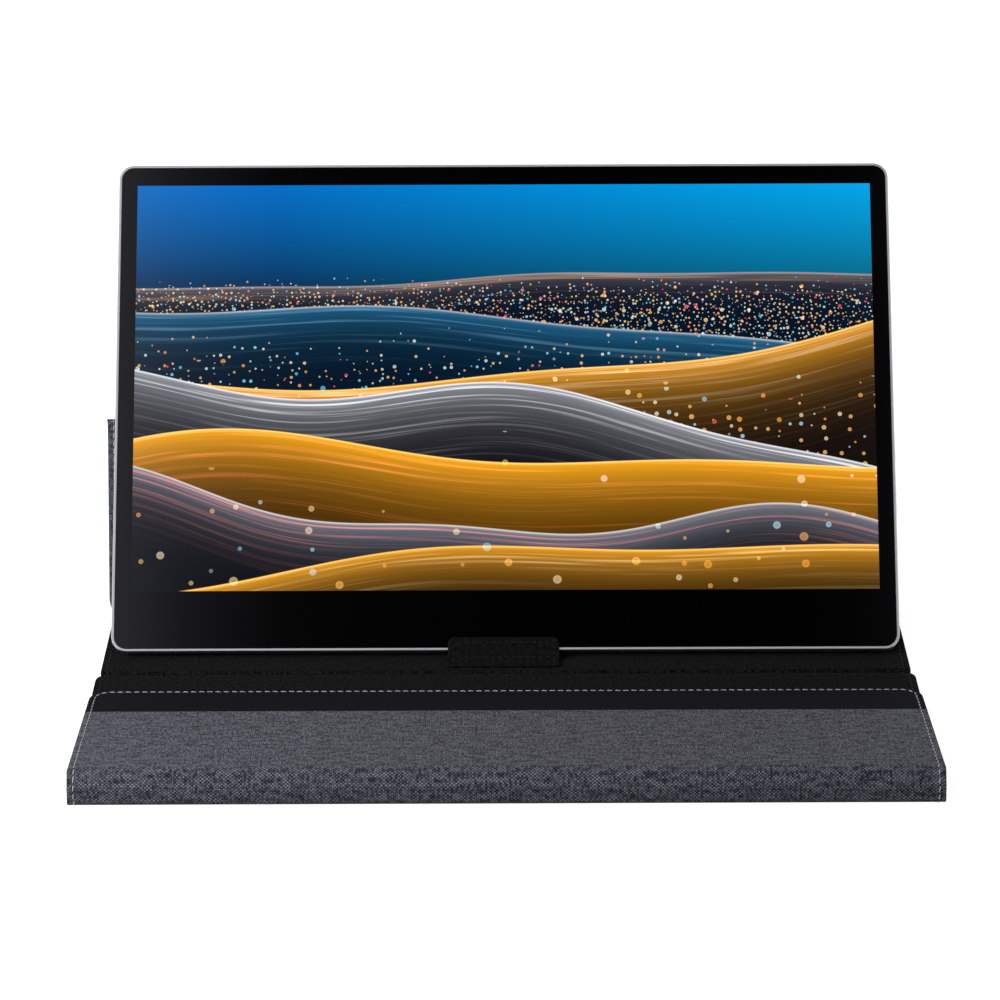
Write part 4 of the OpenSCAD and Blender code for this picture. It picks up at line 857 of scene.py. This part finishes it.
def soft_lamps_group():
    """Lamps out of focus: in each cell of a Voronoi pattern a disc of its own size about the cell's point,
    brighter at its rim, kept where the cell's first random number is below the share, and tinted by its
    second."""
    group, taken, given = new_group(
        "soft_lamps", [
            ("Vector", "Vector"), ("Float", "Scale, Size, Share, Strength, Where"), ("Color", "Under")],
        [("Color", "Color")])
    m = partial(maths, group)
    cells = add(
        group, "ShaderNodeTexVoronoi", voronoi_dimensions="2D", Vector=taken["Vector"], Scale=taken["Scale"],
        Randomness=0.9).outputs
    chance = add(group, "ShaderNodeSeparateColor", Color=cells["Color"]).outputs
    radius = m("MULTIPLY", taken["Size"], m("MULTIPLY_ADD", chance[2], 0.7, 0.3))
    nearness = m("DIVIDE", cells["Distance"], radius)
    disc = span(group, nearness, 1.0, 0.72, easing="SMOOTHSTEP")
    edge = m("MULTIPLY_ADD", m("POWER", nearness, 3.0), 0.5, 0.5)
    kept = m("LESS_THAN", chance[0], m("MULTIPLY", taken["Share"], taken["Where"]))
    power = m("MULTIPLY", m("MULTIPLY", disc, edge), m("MULTIPLY", kept, taken["Strength"]))
    tint = ramp(
        group, chance[1], (0.0, (1.0, 0.36, 0.03)), (0.34, (1.0, 0.62, 0.20)), (0.56, (1.0, 0.86, 0.62)),
        (0.74, (0.45, 0.85, 1.0)), (0.88, (0.05, 0.55, 0.75)), (0.97, (0.9, 0.08, 0.12)))
    settle(group, given, Color=mixed(group, "ADD", power, taken["Under"], tint))
    return group


lamps, wave = soft_lamps_group(), light_wave_group()
screen_x = gm("DIVIDE", on_glass["X"], screen_tall)
screen_y = gm("DIVIDE", gm("SUBTRACT", on_glass["Y"], chin), screen_tall)
screen_flat = add(glass_look, "ShaderNodeCombineXYZ", X=screen_x, Y=screen_y).outputs[0]
# the lit area, on the glass's front face only
in_width = gm("LESS_THAN", gm("ABSOLUTE", on_glass["X"]), screen_half_wide)
in_height = gm("LESS_THAN", gm("ABSOLUTE", gm("SUBTRACT", screen_y, 0.5)), 0.5)
lit = gm("MULTIPLY", in_width, gm("MULTIPLY", in_height, gm("GREATER_THAN", on_glass["Z"], -0.0002)))
# the dusk sky, lighter towards the top right corner
dusk = ramp(
    glass_look, screen_y, (0.66, (0.003, 0.016, 0.045)), (0.76, (0.002, 0.040, 0.125)),
    (0.86, (0.0010, 0.090, 0.300)), (1.0, (0.0005, 0.155, 0.560)))
lighter = gm(
    "MULTIPLY", gm("MULTIPLY_ADD", screen_x, 0.55, 0.30), gm("MAXIMUM", gm("SUBTRACT", screen_y, 0.55), 0.0))
picture = mixed(glass_look, "ADD", gm("MAXIMUM", lighter, 0.0), dusk, (0.0, 0.62, 0.75))


def lamp_layer(under, scale, size, share, strength, low, high):
    """A layer of soft lamps on the picture, thickest at low and gone at high."""
    where = span(glass_look, screen_y, high, low, easing="SMOOTHSTEP")
    return add(
        glass_look, "ShaderNodeGroup", node_tree=lamps, Vector=screen_flat, Under=under, Scale=scale,
        Size=size, Share=share, Strength=strength, Where=where).outputs[0]


def wave_layer(
        under, height, tilt, swing, turns, phase, fade, trail_width, trail_share, glow, deep, rim, trails):
    """A wave of lights laid over the picture."""
    return add(
        glass_look, "ShaderNodeGroup", node_tree=wave, X=screen_x, Y=screen_y, Under=under, Height=height,
        Tilt=tilt, Swing=swing, Turns=turns, Phase=phase, Fade=fade, Trail_Width=trail_width,
        Trail_Share=trail_share, Glow=glow, Deep=deep, Rim=rim, Trails=trails).outputs[0]


# the layers from the far waves forwards, each laid over the ones before it
for layer, *values in (
    (wave_layer, 0.765, 0.02, 0.010, 4.2, 0.6, 0.020, 0.010, 0.6,
     (0.12, 0.11, 0.14), (0.001, 0.007, 0.020), (0.45, 0.34, 0.26), (0.9, 0.55, 0.3)),
    (lamp_layer, 95.0, 0.30, 0.95, 1.3, 0.70, 0.775),
    (lamp_layer, 46.0, 0.26, 0.60, 1.2, 0.62, 0.765),
    (wave_layer, 0.655, -0.05, 0.022, 3.1, 2.2, 0.045, 0.012, 0.5,
     (0.014, 0.125, 0.260), (0.0006, 0.006, 0.018), (0.60, 0.55, 0.45), (0.25, 0.60, 0.85)),
    (lamp_layer, 60.0, 0.26, 0.60, 1.2, 0.50, 0.66),
    (wave_layer, 0.560, 0.10, 0.050, 2.4, 4.4, 0.050, 0.010, 1.0,
     (0.90, 0.38, 0.025), (0.005, 0.003, 0.003), (1.0, 0.72, 0.30), (1.0, 0.80, 0.55)),
    (lamp_layer, 34.0, 0.24, 0.70, 1.0, 0.36, 0.58),
    (wave_layer, 0.440, -0.16, 0.060, 2.9, 0.9, 0.050, 0.009, 1.0,
     (0.30, 0.31, 0.35), (0.002, 0.002, 0.005), (0.95, 0.97, 1.0), (1.0, 1.0, 1.0)),
    (wave_layer, 0.330, 0.05, 0.075, 2.2, 3.1, 0.070, 0.012, 1.0,
     (1.0, 0.42, 0.015), (0.020, 0.007, 0.001), (1.0, 0.70, 0.26), (1.0, 0.26, 0.08)),
    (wave_layer, 0.185, -0.07, 0.055, 3.4, 5.3, 0.040, 0.009, 1.0,
     (0.20, 0.21, 0.26), (0.001, 0.002, 0.005), (0.85, 0.78, 0.66), (0.95, 0.28, 0.24)),
    (wave_layer, 0.070, 0.06, 0.035, 2.6, 1.7, 0.040, 0.012, 0.8,
     (0.85, 0.36, 0.020), (0.008, 0.004, 0.002), (1.0, 0.62, 0.20), (1.0, 0.75, 0.35)),
    (lamp_layer, 17.0, 0.20, 0.35, 0.7, 0.05, 0.42),
):
    picture = layer(picture, *values)
settle(glass_look, glass_shader, Emission_Color=mixed(glass_look, "MIX", lit, (0.0, 0.0, 0.0), picture))
dress(glass_look, "cover_glass")
